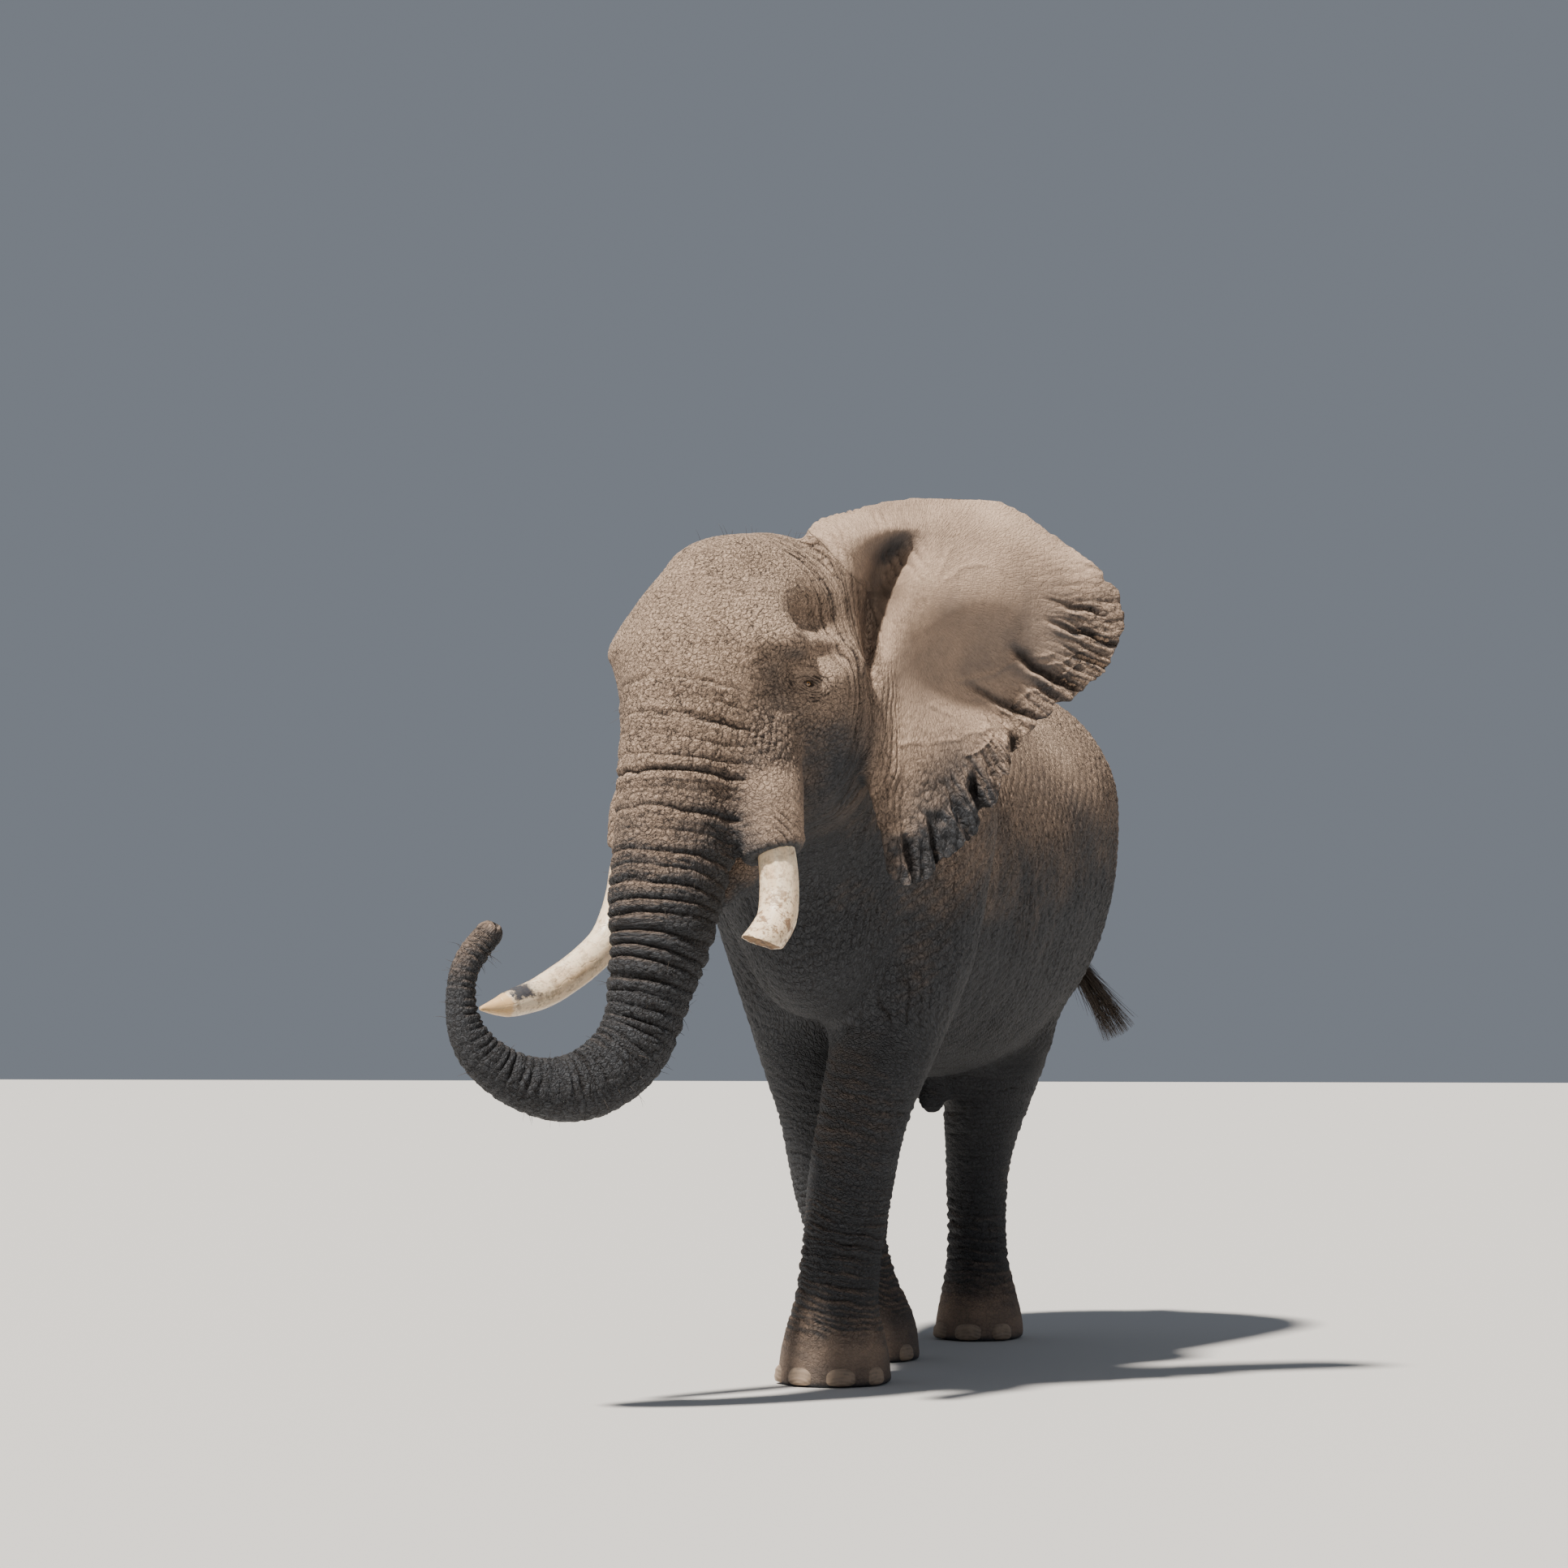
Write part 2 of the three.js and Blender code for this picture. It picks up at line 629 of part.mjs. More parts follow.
/** The block of room of a leg, drawn in or let out from the planes it shares. */
function legRoom({ box: [x0, x1, y0, y1], top, between }, out) {
  const room = new THREE.BoxGeometry(x1 - x0 + 2 * out, y1 - y0 + 2 * out, 2 * FAR);
  room.translate((x0 + x1) / 2, (y0 + y1) / 2, top + out - FAR);
  return solidOf(room).intersect(ahead(between, -out));
}

function torso() {
  let solid = polygonise(bodyField, [-1050, -1650, 900], [1050, 1960, 3300], GRAIN.torso);
  solid = solid.intersect(behind(NECK_CUT));
  for (const leg of Object.values(LEGS)) solid = solid.subtract(legRoom(leg.room, GAP / 2));
  return biggest(solid.subtract(lengthOf(TAIL_LINE, TAIL_SIDES, 0, BRUSH_FROM, GAP)));
}

/** A leg from level rings whose points lie where rays from its middle leave the flesh. */
function legOf({ stations, squash, room }) {
  const field = (p) => joined(torsoField(p), limb(p, stations, squash), LEG_BLEND);
  const byHeight = stations.map(([x, y, z]) => [z, x, y]);
  const rings = LEG_LEVELS.map((level) => {
    const z = level * (room.top - GAP / 2);
    const [, x, y] = tableAt(byHeight, z);
    return Array.from({ length: LEG_SIDES }, (_, k) => {
      const angle = (2 * Math.PI * k) / LEG_SIDES;
      let [near, far] = [0, LEG_REACH];
      for (let step = 0; step < 24; step++) {
        const half = (near + far) / 2;
        if (field([x + Math.cos(angle) * half, y + Math.sin(angle) * half, z]) < 0) near = half;
        else far = half;
      }
      return new THREE.Vector3(x + Math.cos(angle) * near, y + Math.sin(angle) * near, z);
    });
  });
  return biggest(skinned(rings).intersect(legRoom(room, -GAP / 2)));
}

function neck(swell = 0) {
  const field = (p) => bodyField(p) - swell;
  const solid = polygonise(field, [-760, -2050, 1500], [760, -1150, 3400], GRAIN.neck);
  return biggest(solid.intersect(ahead(NECK_CUT)).intersect(behind(turned(HEAD_CUT))));
}

function head(swell = 0) {
  const field = (p) => bodyField(p) - swell;
  const solid = polygonise(field, [-860, -2960, 1600], [620, -1480, 3420], GRAIN.head);
  return biggest(solid.intersect(ahead(turned(HEAD_CUT))).intersect(behind(trunkCut(TRUNK_CUTS[0]))));
}

/** One length of a tapering limb, between two of its stations. */
function lengthOf(line, sides, from, to, grow = 0) {
  const fat = line.map(([x, y, z, r]) => [x, y, z, r + grow]);
  const rings = ringsRound(fat, sides).slice(from, to + 1);
  const last = rings.length - 1;
  const inset = GAP / 2 - grow;
  if (from > 0 || grow) rings[0].forEach((p) => p.addScaledVector(towards(line, from), inset));
  if (to < line.length - 1) rings[last].forEach((p) => p.addScaledVector(towards(line, to), -inset));
  return skinned(rings.filter((_, i) => i === 0 || i === last || i % 2 === 0));
}

/** Where a point of an ear's own plane, and its distance off that plane, lies in the body's frame. */
function earPlace(side) {
  const spread = rad(EAR_SPREAD[side]);
  const drop = rad(EAR_DROP[side]);
  const sign = side === "left" ? 1 : -1;
  return (across, height, offset) => {
    const above = (height - EAR_LEVEL) * EAR_TALL[side];
    const u = across * Math.cos(drop) + above * Math.sin(drop);
    const z = EAR_LEVEL + above * Math.cos(drop) - across * Math.sin(drop);
    const cup = EAR_CUP * ((u - EAR_MIDDLE[0]) / EAR_CUP_AT) ** 2 + EAR_LEAN * (EAR_LEVEL - z) + offset;
    const out = EAR_ROOT[0] + Math.sin(spread) * u + Math.cos(spread) * cup;
    const back = EAR_ROOT[1] + Math.cos(spread) * u - Math.sin(spread) * cup;
    return fromHead([sign * out, back, z - HEAD_AT[2]]);
  };
}

/** An ear: a cupped plate from its outline, thin at the rim and thick at the middle. */
function ear(side, swollen) {
  const corners = EAR_OUTLINE.map(([u, z]) => new THREE.Vector3(u, z, 0));
  const rim = new THREE.CatmullRomCurve3(corners, true, "centripetal");
  const outline = rim.getSpacedPoints(EAR_AROUND).slice(0, EAR_AROUND);
  const place = earPlace(side);
  const points = [];
  const triangles = [];
  for (const face of [1, -1])
    for (let ring = 0; ring < EAR_RINGS; ring++) {
      const t = 1 - ring / EAR_RINGS;
      const thick = mix(EAR_THICK, EAR_RIM, t ** 2);
      for (const p of outline)
        points.push(place(mix(EAR_MIDDLE[0], p.x, t), mix(EAR_MIDDLE[1], p.y, t), face * thick));
    }
  const middles = [1, -1].map((face) => points.push(place(...EAR_MIDDLE, face * EAR_THICK)) - 1);
  const at = (face, ring, k) => (face * EAR_RINGS + ring) * EAR_AROUND + (k % EAR_AROUND);
  for (let k = 0; k < EAR_AROUND; k++) {
    for (let ring = 0; ring + 1 < EAR_RINGS; ring++)
      for (const face of [0, 1]) {
        const [a, b] = [at(face, ring, k), at(face, ring, k + 1)];
        const [d, c] = [at(face, ring + 1, k), at(face, ring + 1, k + 1)];
        triangles.push(...(face ? [[a, b, c], [a, c, d]] : [[a, c, b], [a, d, c]]));
      }
    const last = EAR_RINGS - 1;
    const [front, back] = [0, 1].map((face) => [at(face, last, k), at(face, last, k + 1)]);
    triangles.push([front[1], front[0], middles[0]], [back[0], back[1], middles[1]]);
    const [near, far] = [0, 1].map((face) => [at(face, 0, k), at(face, 0, k + 1)]);
    triangles.push([near[0], near[1], far[0]], [near[1], far[1], far[0]]);
  }
  if (side === "right") triangles.forEach((t) => t.reverse());
  return biggest(solidOf(geometryFrom(points, triangles)).subtract(swollen));
}

/** A toenail standing on the foot's face: an arched plate, let into the foot. */
function nail(foot, squash, [bearing, half], grow = 0) {
  const outward = new THREE.Vector3(Math.sin(rad(bearing)), -Math.cos(rad(bearing)), 0);
  const along = new THREE.Vector3(Math.cos(rad(bearing)), Math.sin(rad(bearing)), 0);
  const reach = foot[0][3] * Math.hypot(outward.x * squash[0], outward.y * squash[1]);
  const tall = NAIL_HEIGHT + 2 * grow;
  const arch = NAIL_ARCH.map(([u, z]) => [u * (half + grow), NAIL_SOLE - grow + z * tall]);
  const ringAt = (depth, inset, lean) =>
    arch.map(([u, z]) => {
      const high = mix(z, NAIL_SOLE + NAIL_HEIGHT * NAIL_BULGE, inset);
      const away = reach + depth - lean * (high - NAIL_SOLE);
      return new THREE.Vector3(foot[0][0], foot[0][1], high)
        .addScaledVector(outward, away)
        .addScaledVector(along, u * (1 - inset));
    });
  const grown = (depth) => depth + Math.sign(depth) * grow;
  return skinned(NAIL_RINGS.map(([depth, inset, lean]) => ringAt(grown(depth), inset, lean)));
}

// ---------- assembly ----------
const HIDE = { colour: 0x6f6a66, roughness: 0.9 };
const NAIL_HORN = { colour: 0x9a8c7c, roughness: 0.6 };
const IVORY = { colour: 0xd9cdb4, roughness: 0.42 };
const EYE = { colour: 0x2c1b10, roughness: 0.12 };
const HAIR = { colour: 0x1d1a19, roughness: 0.7 };

const elephant = new THREE.Group();
function add(name, solid, { colour, roughness }) {
  const material = new THREE.MeshStandardMaterial({ color: colour, roughness, metalness: 0 });
  const mesh = new THREE.Mesh(geometryOf(solid).translate(...CENTRE), material);
  mesh.name = name;
  elephant.add(mesh);
}

const swollen = neck(EAR_GAP).add(head(EAR_GAP));
let headSolid = head();
for (const side of ["left", "right"]) {
  const mirrored = ([x, ...rest]) => [side === "left" ? x : -x, ...rest];
  const line = inWorld([...TUSK_ROOT, ...(side === "left" ? TUSK_BROKEN : TUSK_WHOLE)].map(mirrored));
  const tusk = smoothStations(line, 1);
  headSolid = headSolid.subtract(tube(fattened(tusk, GAP), TUSK_SIDES));
  const whole = tube(tusk, TUSK_SIDES);
  add(`tusk_${side}`, side === "left" ? whole.intersect(behind(turned(BREAK), 0)) : whole, IVORY);
  const ball = (radius) => {
    const geometry = new THREE.SphereGeometry(radius, 10, 5);
    geometry.translate(...fromHead(mirrored(EYE_AT)));
    return solidOf(geometry);
  };
  headSolid = headSolid.subtract(ball(EYE_RADIUS + GAP));
  add(`eye_${side}`, ball(EYE_RADIUS), EYE);
  add(`ear_${side}`, ear(side, swollen), HIDE);
}
add("head", biggest(headSolid), HIDE);
add("neck", neck(), HIDE);
add("torso", torso(), HIDE);
add("tail", lengthOf(TAIL_LINE, TAIL_SIDES, 0, BRUSH_FROM), HIDE);
add("tail_brush", lengthOf(TAIL_LINE, TAIL_SIDES, BRUSH_FROM, TAIL_LINE.length - 1), HAIR);
TRUNK_CUTS.forEach((from, i) => {
  const to = TRUNK_CUTS[i + 1] ?? TRUNK_LINE.length - 1;
  add(`trunk_${i + 1}`, lengthOf(TRUNK_LINE, TRUNK_SIDES, from, to), HIDE);
});
for (const [name, leg] of Object.entries(LEGS)) {
  let solid = legOf(leg);
  leg.nails.forEach((at, i) => {
    solid = solid.subtract(nail(leg.stations, leg.squash, at, GAP));
    add(`nail_${name}_${i + 1}`, nail(leg.stations, leg.squash, at), NAIL_HORN);
  });
  add(name, biggest(solid), HIDE);
}

export default elephant;
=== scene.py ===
import math

import bpy
import numpy as np
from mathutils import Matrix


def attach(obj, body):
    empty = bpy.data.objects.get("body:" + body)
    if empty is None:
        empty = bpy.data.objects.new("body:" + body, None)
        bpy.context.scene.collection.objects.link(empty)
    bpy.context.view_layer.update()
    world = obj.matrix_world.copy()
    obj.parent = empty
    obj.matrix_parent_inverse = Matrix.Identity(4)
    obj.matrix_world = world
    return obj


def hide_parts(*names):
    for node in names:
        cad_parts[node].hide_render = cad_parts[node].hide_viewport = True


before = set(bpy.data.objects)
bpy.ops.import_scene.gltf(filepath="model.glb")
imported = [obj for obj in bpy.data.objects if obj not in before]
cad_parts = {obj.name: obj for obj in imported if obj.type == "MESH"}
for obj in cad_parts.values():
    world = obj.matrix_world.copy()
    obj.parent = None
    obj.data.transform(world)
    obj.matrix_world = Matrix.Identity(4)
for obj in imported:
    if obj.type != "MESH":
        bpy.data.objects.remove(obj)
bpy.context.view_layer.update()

import openvdb

# ---------- measures of the animal, in millimetres: it walks towards -Y, its left side is +X ----------
CENTRE = np.array([-148, 525, 0], np.float32)
LOWEST = np.array([-1080, -3100, -36], np.float32)
HIGHEST = np.array([1380, 2050, 3560], np.float32)
CELL = 22.0
BLOCK = 4

BARREL = np.array([
    (-1500, 2560, 2260, 1960, 70), (-1420, 2790, 2260, 1720, 240), (-1220, 3010, 2260, 1530, 360),
    (-900, 3160, 2240, 1420, 465), (-500, 3130, 2210, 1350, 575), (0, 3040, 2180, 1255, 715),
    (450, 3030, 2260, 1200, 815), (800, 3080, 2400, 1250, 855), (1150, 3030, 2450, 1430, 785),
    (1440, 2850, 2430, 1660, 590), (1620, 2620, 2350, 1880, 330), (1700, 2430, 2280, 2040, 80),
], np.float32)
BARREL_UPPER, BARREL_LOWER = 2.0, 2.2

FORE_LEFT = [
    (72, -1220, 20, 232), (72, -1218, 130, 216), (76, -1204, 300, 176), (90, -1170, 520, 168),
    (110, -1122, 760, 178), (146, -1056, 1040, 188), (206, -970, 1330, 222), (310, -900, 1720, 270),
    (380, -860, 2250, 290),
]
FORE_RIGHT = [
    (-70, -150, 20, 230), (-74, -160, 130, 214), (-92, -222, 300, 176), (-116, -320, 520, 172),
    (-140, -420, 760, 182), (-160, -540, 1040, 188), (-190, -680, 1340, 212), (-255, -800, 1720, 235),
    (-335, -860, 2250, 270),
]
HIND_LEFT = [
    (145, 1070, 20, 222), (142, 1080, 130, 204), (128, 1112, 330, 164), (120, 1130, 560, 155),
    (136, 1106, 850, 172), (190, 1050, 1130, 226), (250, 1010, 1450, 298), (350, 960, 2050, 350),
]
HIND_RIGHT = [
    (-320, 430, 20, 222), (-318, 444, 130, 204), (-306, 496, 330, 166), (-300, 552, 560, 157),
    (-300, 636, 850, 174), (-315, 732, 1130, 226), (-340, 850, 1450, 305), (-380, 925, 2050, 345),
]
FORE_SQUASH, HIND_SQUASH = (1, 1.06, 1), (0.94, 1.16, 1)
NECK = [(0, -1120, 2390, 560), (-14, -1440, 2500, 500), (-40, -1720, 2620, 440), (-56, -1900, 2700, 410)]
NECK_SQUASH = (0.8, 1, 1.08)

HEAD_AT = np.array([-60, -2000, 2780], np.float32)
HEAD_TURN = math.radians(-20)
TRUNK_HANGING = [
    (0, -285, -40, 250), (0, -368, -290, 256), (0, -418, -530, 240), (0, -474, -780, 222),
    (0, -512, -923, 211), (4, -540, -1070, 186),
]
CURL_TURN = math.radians(33)
CURL_FROM = -562
TRUNK_CURL = [
    (20, -1220, 163), (39, -1320, 148), (79, -1427, 143), (147, -1513, 139), (261, -1584, 131),
    (391, -1604, 116), (546, -1563, 97), (670, -1471, 82), (722, -1385, 68), (740, -1290, 58),
    (738, -1220, 54), (719, -1155, 54), (680, -1095, 55), (640, -1045, 50),
]
TUSK_ROOT = [(262, -236, -470, 64), (310, -270, -620, 70)]
TUSK_WHOLE = [
    (336, -304, -770, 72), (332, -338, -870, 70), (332, -376, -960, 69), (342, -430, -1050, 68),
    (362, -530, -1135, 67), (384, -635, -1200, 66), (406, -740, -1252, 62), (428, -855, -1286, 54),
    (442, -915, -1300, 41), (465, -1015, -1312, 6),
]
TUSK_BROKEN = [
    (366, -302, -775, 73), (385, -320, -900, 74), (395, -350, -983, 75), (402, -405, -1036, 74),
    (408, -465, -1075, 72), (414, -530, -1112, 70),
]
BREAK_AT, BREAK_FACING = (404, -440, -1078), (-0.12, -0.22, -0.97)
EYE_AT, EYE_RADIUS = np.array([388, -160, -100], np.float32), 24
EAR_OUTLINE = [
    (-300, 3262), (-262, 3350), (-115, 3408), (49, 3460), (214, 3486), (378, 3494), (572, 3474),
    (728, 3378), (840, 3290), (930, 3186), (985, 3064), (980, 2922), (930, 2802), (828, 2700),
    (700, 2612), (590, 2500), (518, 2380), (468, 2270), (395, 2160), (296, 2055), (181, 1968),
    (82, 1929), (10, 1954), (-30, 2097), (-90, 2350), (-160, 2700), (-240, 3020),
]
EAR_MIDDLE, EAR_ROOT, EAR_LEVEL = (330, 2800), (440, 270), 2600
EAR_SPREAD = {1: math.radians(38), -1: math.radians(53)}
EAR_DROP = {1: 0.0, -1: math.radians(13)}
EAR_TALL = {1: 1.0, -1: 0.95}
EAR_CUP, EAR_CUP_AT, EAR_LEAN = 70, 700, 0.06
EAR_HALF = 17.0
TAIL = [
    (0, 1430, 2620, 96), (0, 1590, 2570, 100), (6, 1710, 2450, 72), (40, 1798, 2280, 48),
    (150, 1850, 2110, 38), (300, 1862, 1930, 32), (430, 1858, 1770, 30), (490, 1880, 1680, 46),
    (560, 1912, 1560, 52), (610, 1945, 1450, 40), (632, 1962, 1385, 12),
]
TAIL_FLESH = 19  # stations of the tail's line that carry flesh
FORE_NAILS = [(-62, 52), (-21, 66), (21, 66), (62, 52)]
HIND_NAILS = [(-40, 56), (0, 64), (40, 56)]
NAIL_HEIGHT, NAIL_SOLE = 78, 6


# ---------- small maths ----------
def points(rows):
    return np.asarray(rows, np.float32).reshape(-1, 3)


def ease(low, high, value):
    """Smooth step from 0 below low to 1 above high."""
    t = np.clip((value - low) / (high - low), 0, 1)
    return t * t * (3 - 2 * t)


def unit(v):
    return v / np.maximum(np.linalg.norm(v, axis=-1, keepdims=True), 1e-9)


def table_at(table, value):
    """Columns of a table at values of its first column, on a smooth curve through its rows."""
    table = np.asarray(table, np.float32)
    x = table[:, 0]
    last = len(x) - 1
    i = np.clip(np.searchsorted(x, value, side="left") - 1, 0, last - 1)
    here = np.arange(last + 1)
    before, after = np.maximum(here - 1, 0), np.minimum(here + 1, last)
    slope = (table[after] - table[before]) / (x[after] - x[before])[:, None]
    span = (x[i + 1] - x[i])[:, None]
    t = np.clip((value - x[i])[:, None] / span, 0, 1)
    ends = table[i] * (1 + 2 * t) * (1 - t) ** 2 + table[i + 1] * t * t * (3 - 2 * t)
    return ends + span * (slope[i] * t * (1 - t) ** 2 - slope[i + 1] * t * t * (1 - t))


def smooth_line(stations, per_span):
    """More stations on a smooth curve through the given ones; each is x, y, z, radius."""
    given = np.asarray(stations, float)
    path = given[:, :3]
    padded = np.vstack([2 * path[0] - path[1], path, 2 * path[-1] - path[-2]])
    gaps = np.linalg.norm(np.diff(padded, axis=0), axis=1) ** 0.5
    spans = len(path) - 1
    made = []
    for i in range(spans):
        a, b, c, d = padded[i : i + 4]
        g0, g1, g2 = gaps[i : i + 3]
        leave = ((b - a) / g0 - (c - a) / (g0 + g1) + (c - b) / g1) * g1
        arrive = ((c - b) / g1 - (d - b) / (g1 + g2) + (d - c) / g2) * g1
        for k in range(per_span + (i == spans - 1)):
            t = k / per_span
            bend = (3 * (c - b) - 2 * leave - arrive) * t * t + (2 * (b - c) + leave + arrive) * t**3
            made.append(b + leave * t + bend)
    steps = np.arange(len(made)) / per_span
    radii = table_at(np.c_[np.arange(len(given)), given[:, 3]], steps)[:, 1]
    return np.c_[np.array(made), radii].astype(np.float32)


def to_head(p):
    q = p - HEAD_AT
    c, s = math.cos(HEAD_TURN), math.sin(HEAD_TURN)
    return np.stack([c * q[:, 0] + s * q[:, 1], c * q[:, 1] - s * q[:, 0], q[:, 2]], 1)


def turn_out(v):
    """A direction of the head's frame in the body's frame."""
    v = points(v)
    c, s = math.cos(HEAD_TURN), math.sin(HEAD_TURN)
    return np.stack([c * v[:, 0] - s * v[:, 1], s * v[:, 0] + c * v[:, 1], v[:, 2]], 1)


def from_head(p):
    return turn_out(p) + HEAD_AT


def lattice(ix, iy, iz, seed):
    """A well mixed whole number for each lattice corner."""
    mixed = ix.astype(np.uint32) * np.uint32(0x9E3779B1) + np.uint32(seed * 7919 + 17)
    mixed ^= iy.astype(np.uint32) * np.uint32(0x85EBCA77)
    mixed ^= iz.astype(np.uint32) * np.uint32(0xC2B2AE3D)
    mixed ^= mixed >> np.uint32(15)
    mixed *= np.uint32(0x2C1B3C6D)
    mixed ^= mixed >> np.uint32(12)
    mixed *= np.uint32(0x297A2D39)
    mixed ^= mixed >> np.uint32(15)
    return mixed


def cloud(p, size, seed=0):
    """Smooth noise from -1 to 1 with lumps of a size, which may differ by axis."""
    q = p / np.asarray(size, np.float32)
    base = np.floor(q).astype(np.int32)
    f = q - base
    f = f * f * f * (f * (f * 6 - 15) + 10)
    total = np.zeros(len(q), np.float32)
    for dx in (0, 1):
        for dy in (0, 1):
            share = (f[:, 0] if dx else 1 - f[:, 0]) * (f[:, 1] if dy else 1 - f[:, 1])
            for dz in (0, 1):
                h = lattice(base[:, 0] + dx, base[:, 1] + dy, base[:, 2] + dz, seed)
                total += share * (f[:, 2] if dz else 1 - f[:, 2]) * (h.astype(np.float32) / 2**31 - 1)
    return total


def clouds(p, size, octaves=3, seed=0):
    size = np.asarray(size, np.float32)
    return sum(cloud(p, size / 2**k, seed + k) / 2**k for k in range(octaves)) / (2 - 2 ** (1 - octaves))


def crazed(p, size, seed=0):
    """Distance to the nearest edge between scattered cells, in cells, from 0 on the edge."""
    q = p / np.asarray(size, np.float32)
    base = np.floor(q).astype(np.int32)
    best = np.full(len(q), 9.0, np.float32)
    second = np.full(len(q), 9.0, np.float32)
    nearest = np.zeros_like(q)
    runner = np.zeros_like(q)
    for dx in (-1, 0, 1):
        for dy in (-1, 0, 1):
            for dz in (-1, 0, 1):
                h = lattice(base[:, 0] + dx, base[:, 1] + dy, base[:, 2] + dz, seed)
                spot = np.stack([h & 1023, (h >> np.uint32(10)) & 1023, (h >> np.uint32(20)) & 1023], 1)
                away = base + (dx, dy, dz) + spot.astype(np.float32) / 1023 - q
                away = away.astype(np.float32)
                far = (away * away).sum(1)
                closer = far < best
                next_best = ~closer & (far < second)
                runner[closer] = nearest[closer]
                second[closer] = best[closer]
                nearest[closer] = away[closer]
                best[closer] = far[closer]
                runner[next_best] = away[next_best]
                second[next_best] = far[next_best]
    apart = np.linalg.norm(runner - nearest, axis=1)
    return (second - best) / (2 * np.maximum(apart, 1e-3))


def grooved(phase, sharp=0.5):
    """0 at whole numbers, where a groove runs, and 1 half way between them."""
    return np.abs(np.sin(np.pi * phase)) ** sharp


# ---------- fields: negative inside, roughly a distance ----------
def joined(a, b, k):
    return np.minimum(a, b) - (np.maximum(k - np.abs(a - b), 0) / k) ** 2 * (k * 0.25)


def hollowed(a, b, k):
    return -joined(-a, b, k)


def ball(p, at, size):
    size = np.asarray(size, np.float32)
    q = (p - np.asarray(at, np.float32)) / size
    k0 = np.linalg.norm(q, axis=1)
    k1 = np.linalg.norm(q / size, axis=1)
    return np.where(k1 < 1e-9, -size.min(), k0 * (k0 - 1) / np.maximum(k1, 1e-9))


REACH = 260.0


def limb(p, stations, squash=(1, 1, 1)):
    """Distance to a tapering limb, worked out near it and REACH elsewhere."""
    line = np.asarray(stations, np.float32)
    fat = line[:, 3:].max() + REACH
    near = ((p > line[:, :3].min(0) - fat) & (p < line[:, :3].max(0) + fat)).all(1)
    found = np.full(len(p), REACH, np.float32)
    if not near.any():
        return found
    squash = np.asarray(squash, np.float32)
    scale = squash.sum() / 3
    q = p[near] / squash
    best = np.full(len(q), 1e9, np.float32)
    for a, b in zip(line, line[1:]):
        run = (b[:3] - a[:3]) / squash
        start = q - a[:3] / squash
        t = np.clip(start @ run / (run @ run), 0, 1)
        away = np.linalg.norm(start - t[:, None] * run, axis=1)
        best = np.minimum(best, away - (a[3] + (b[3] - a[3]) * t) / scale)
    found[near] = best * scale
    return found


def barrel(p):
    _, top, middle, bottom, half = table_at(BARREL, p[:, 1]).T
    above = p[:, 2] > middle
    tall = np.where(above, top - middle, middle - bottom)
    power = np.where(above, BARREL_UPPER, BARREL_LOWER)
    q = (np.abs(p[:, 0]) / half) ** power + (np.abs(p[:, 2] - middle) / tall) ** power
    past = np.maximum(np.maximum(BARREL[0, 0] - p[:, 1], p[:, 1] - BARREL[-1, 0]), 0)
    return (q ** (1 / power) - 1) * np.minimum(half, tall) + past


def curl_station(out, z, r):
    return (-math.sin(CURL_TURN) * out, CURL_FROM - math.cos(CURL_TURN) * out, z, r)


LEGS = [
    (smooth_line(FORE_LEFT, 3), FORE_SQUASH), (smooth_line(FORE_RIGHT, 3), FORE_SQUASH),
    (smooth_line(HIND_LEFT, 3), HIND_SQUASH), (smooth_line(HIND_RIGHT, 3), HIND_SQUASH),
]
NECK_LINE = smooth_line(NECK, 3)
CURL_MIDDLE = np.array([-245, -940, -1250])
TRUNK_LINE = smooth_line(TRUNK_HANGING + [curl_station(*row) for row in TRUNK_CURL], 4)
TAIL_LINE = smooth_line(TAIL, 3)


def trunk_fingers():
    """The two lips of the trunk's end: the longer one stands on its front side, inside the curl."""
    tip = TRUNK_LINE[-1, :3]
    ahead = unit(tip - TRUNK_LINE[-3, :3])
    inner = CURL_MIDDLE - tip
    inner = unit(inner - ahead * (inner @ ahead))
    made = []
    for side, near, far, long in ((1, 27, 8, 58), (-1, 25, 9, 40)):
        start, end = tip + inner * side * 22, tip + inner * side * 27 + ahead * long
        made.append([(*start, near), (*(start + (end - start) * 0.6), near * 0.7), (*end, far)])
    return made


FINGERS = trunk_fingers()


def torso_field(p):
    side = p.copy()
    side[:, 0] = np.abs(side[:, 0])
    d = barrel(p)
    d = joined(d, ball(side, (330, -930, 2380), (190, 330, 640)), 160)  # shoulder blade
    d = joined(d, ball(side, (400, 900, 2180), (300, 420, 640)), 180)  # haunch
    d = joined(d, ball(side, (240, 1330, 2150), (250, 300, 560)), 160)  # buttock
    d = joined(d, ball(p, (0, -1250, 1800), (250, 300, 330)), 150)  # brisket
    return joined(d, limb(p, [(0, 1000, 1340, 130), (8, 820, 1200, 96), (12, 700, 1092, 60)]), 110)


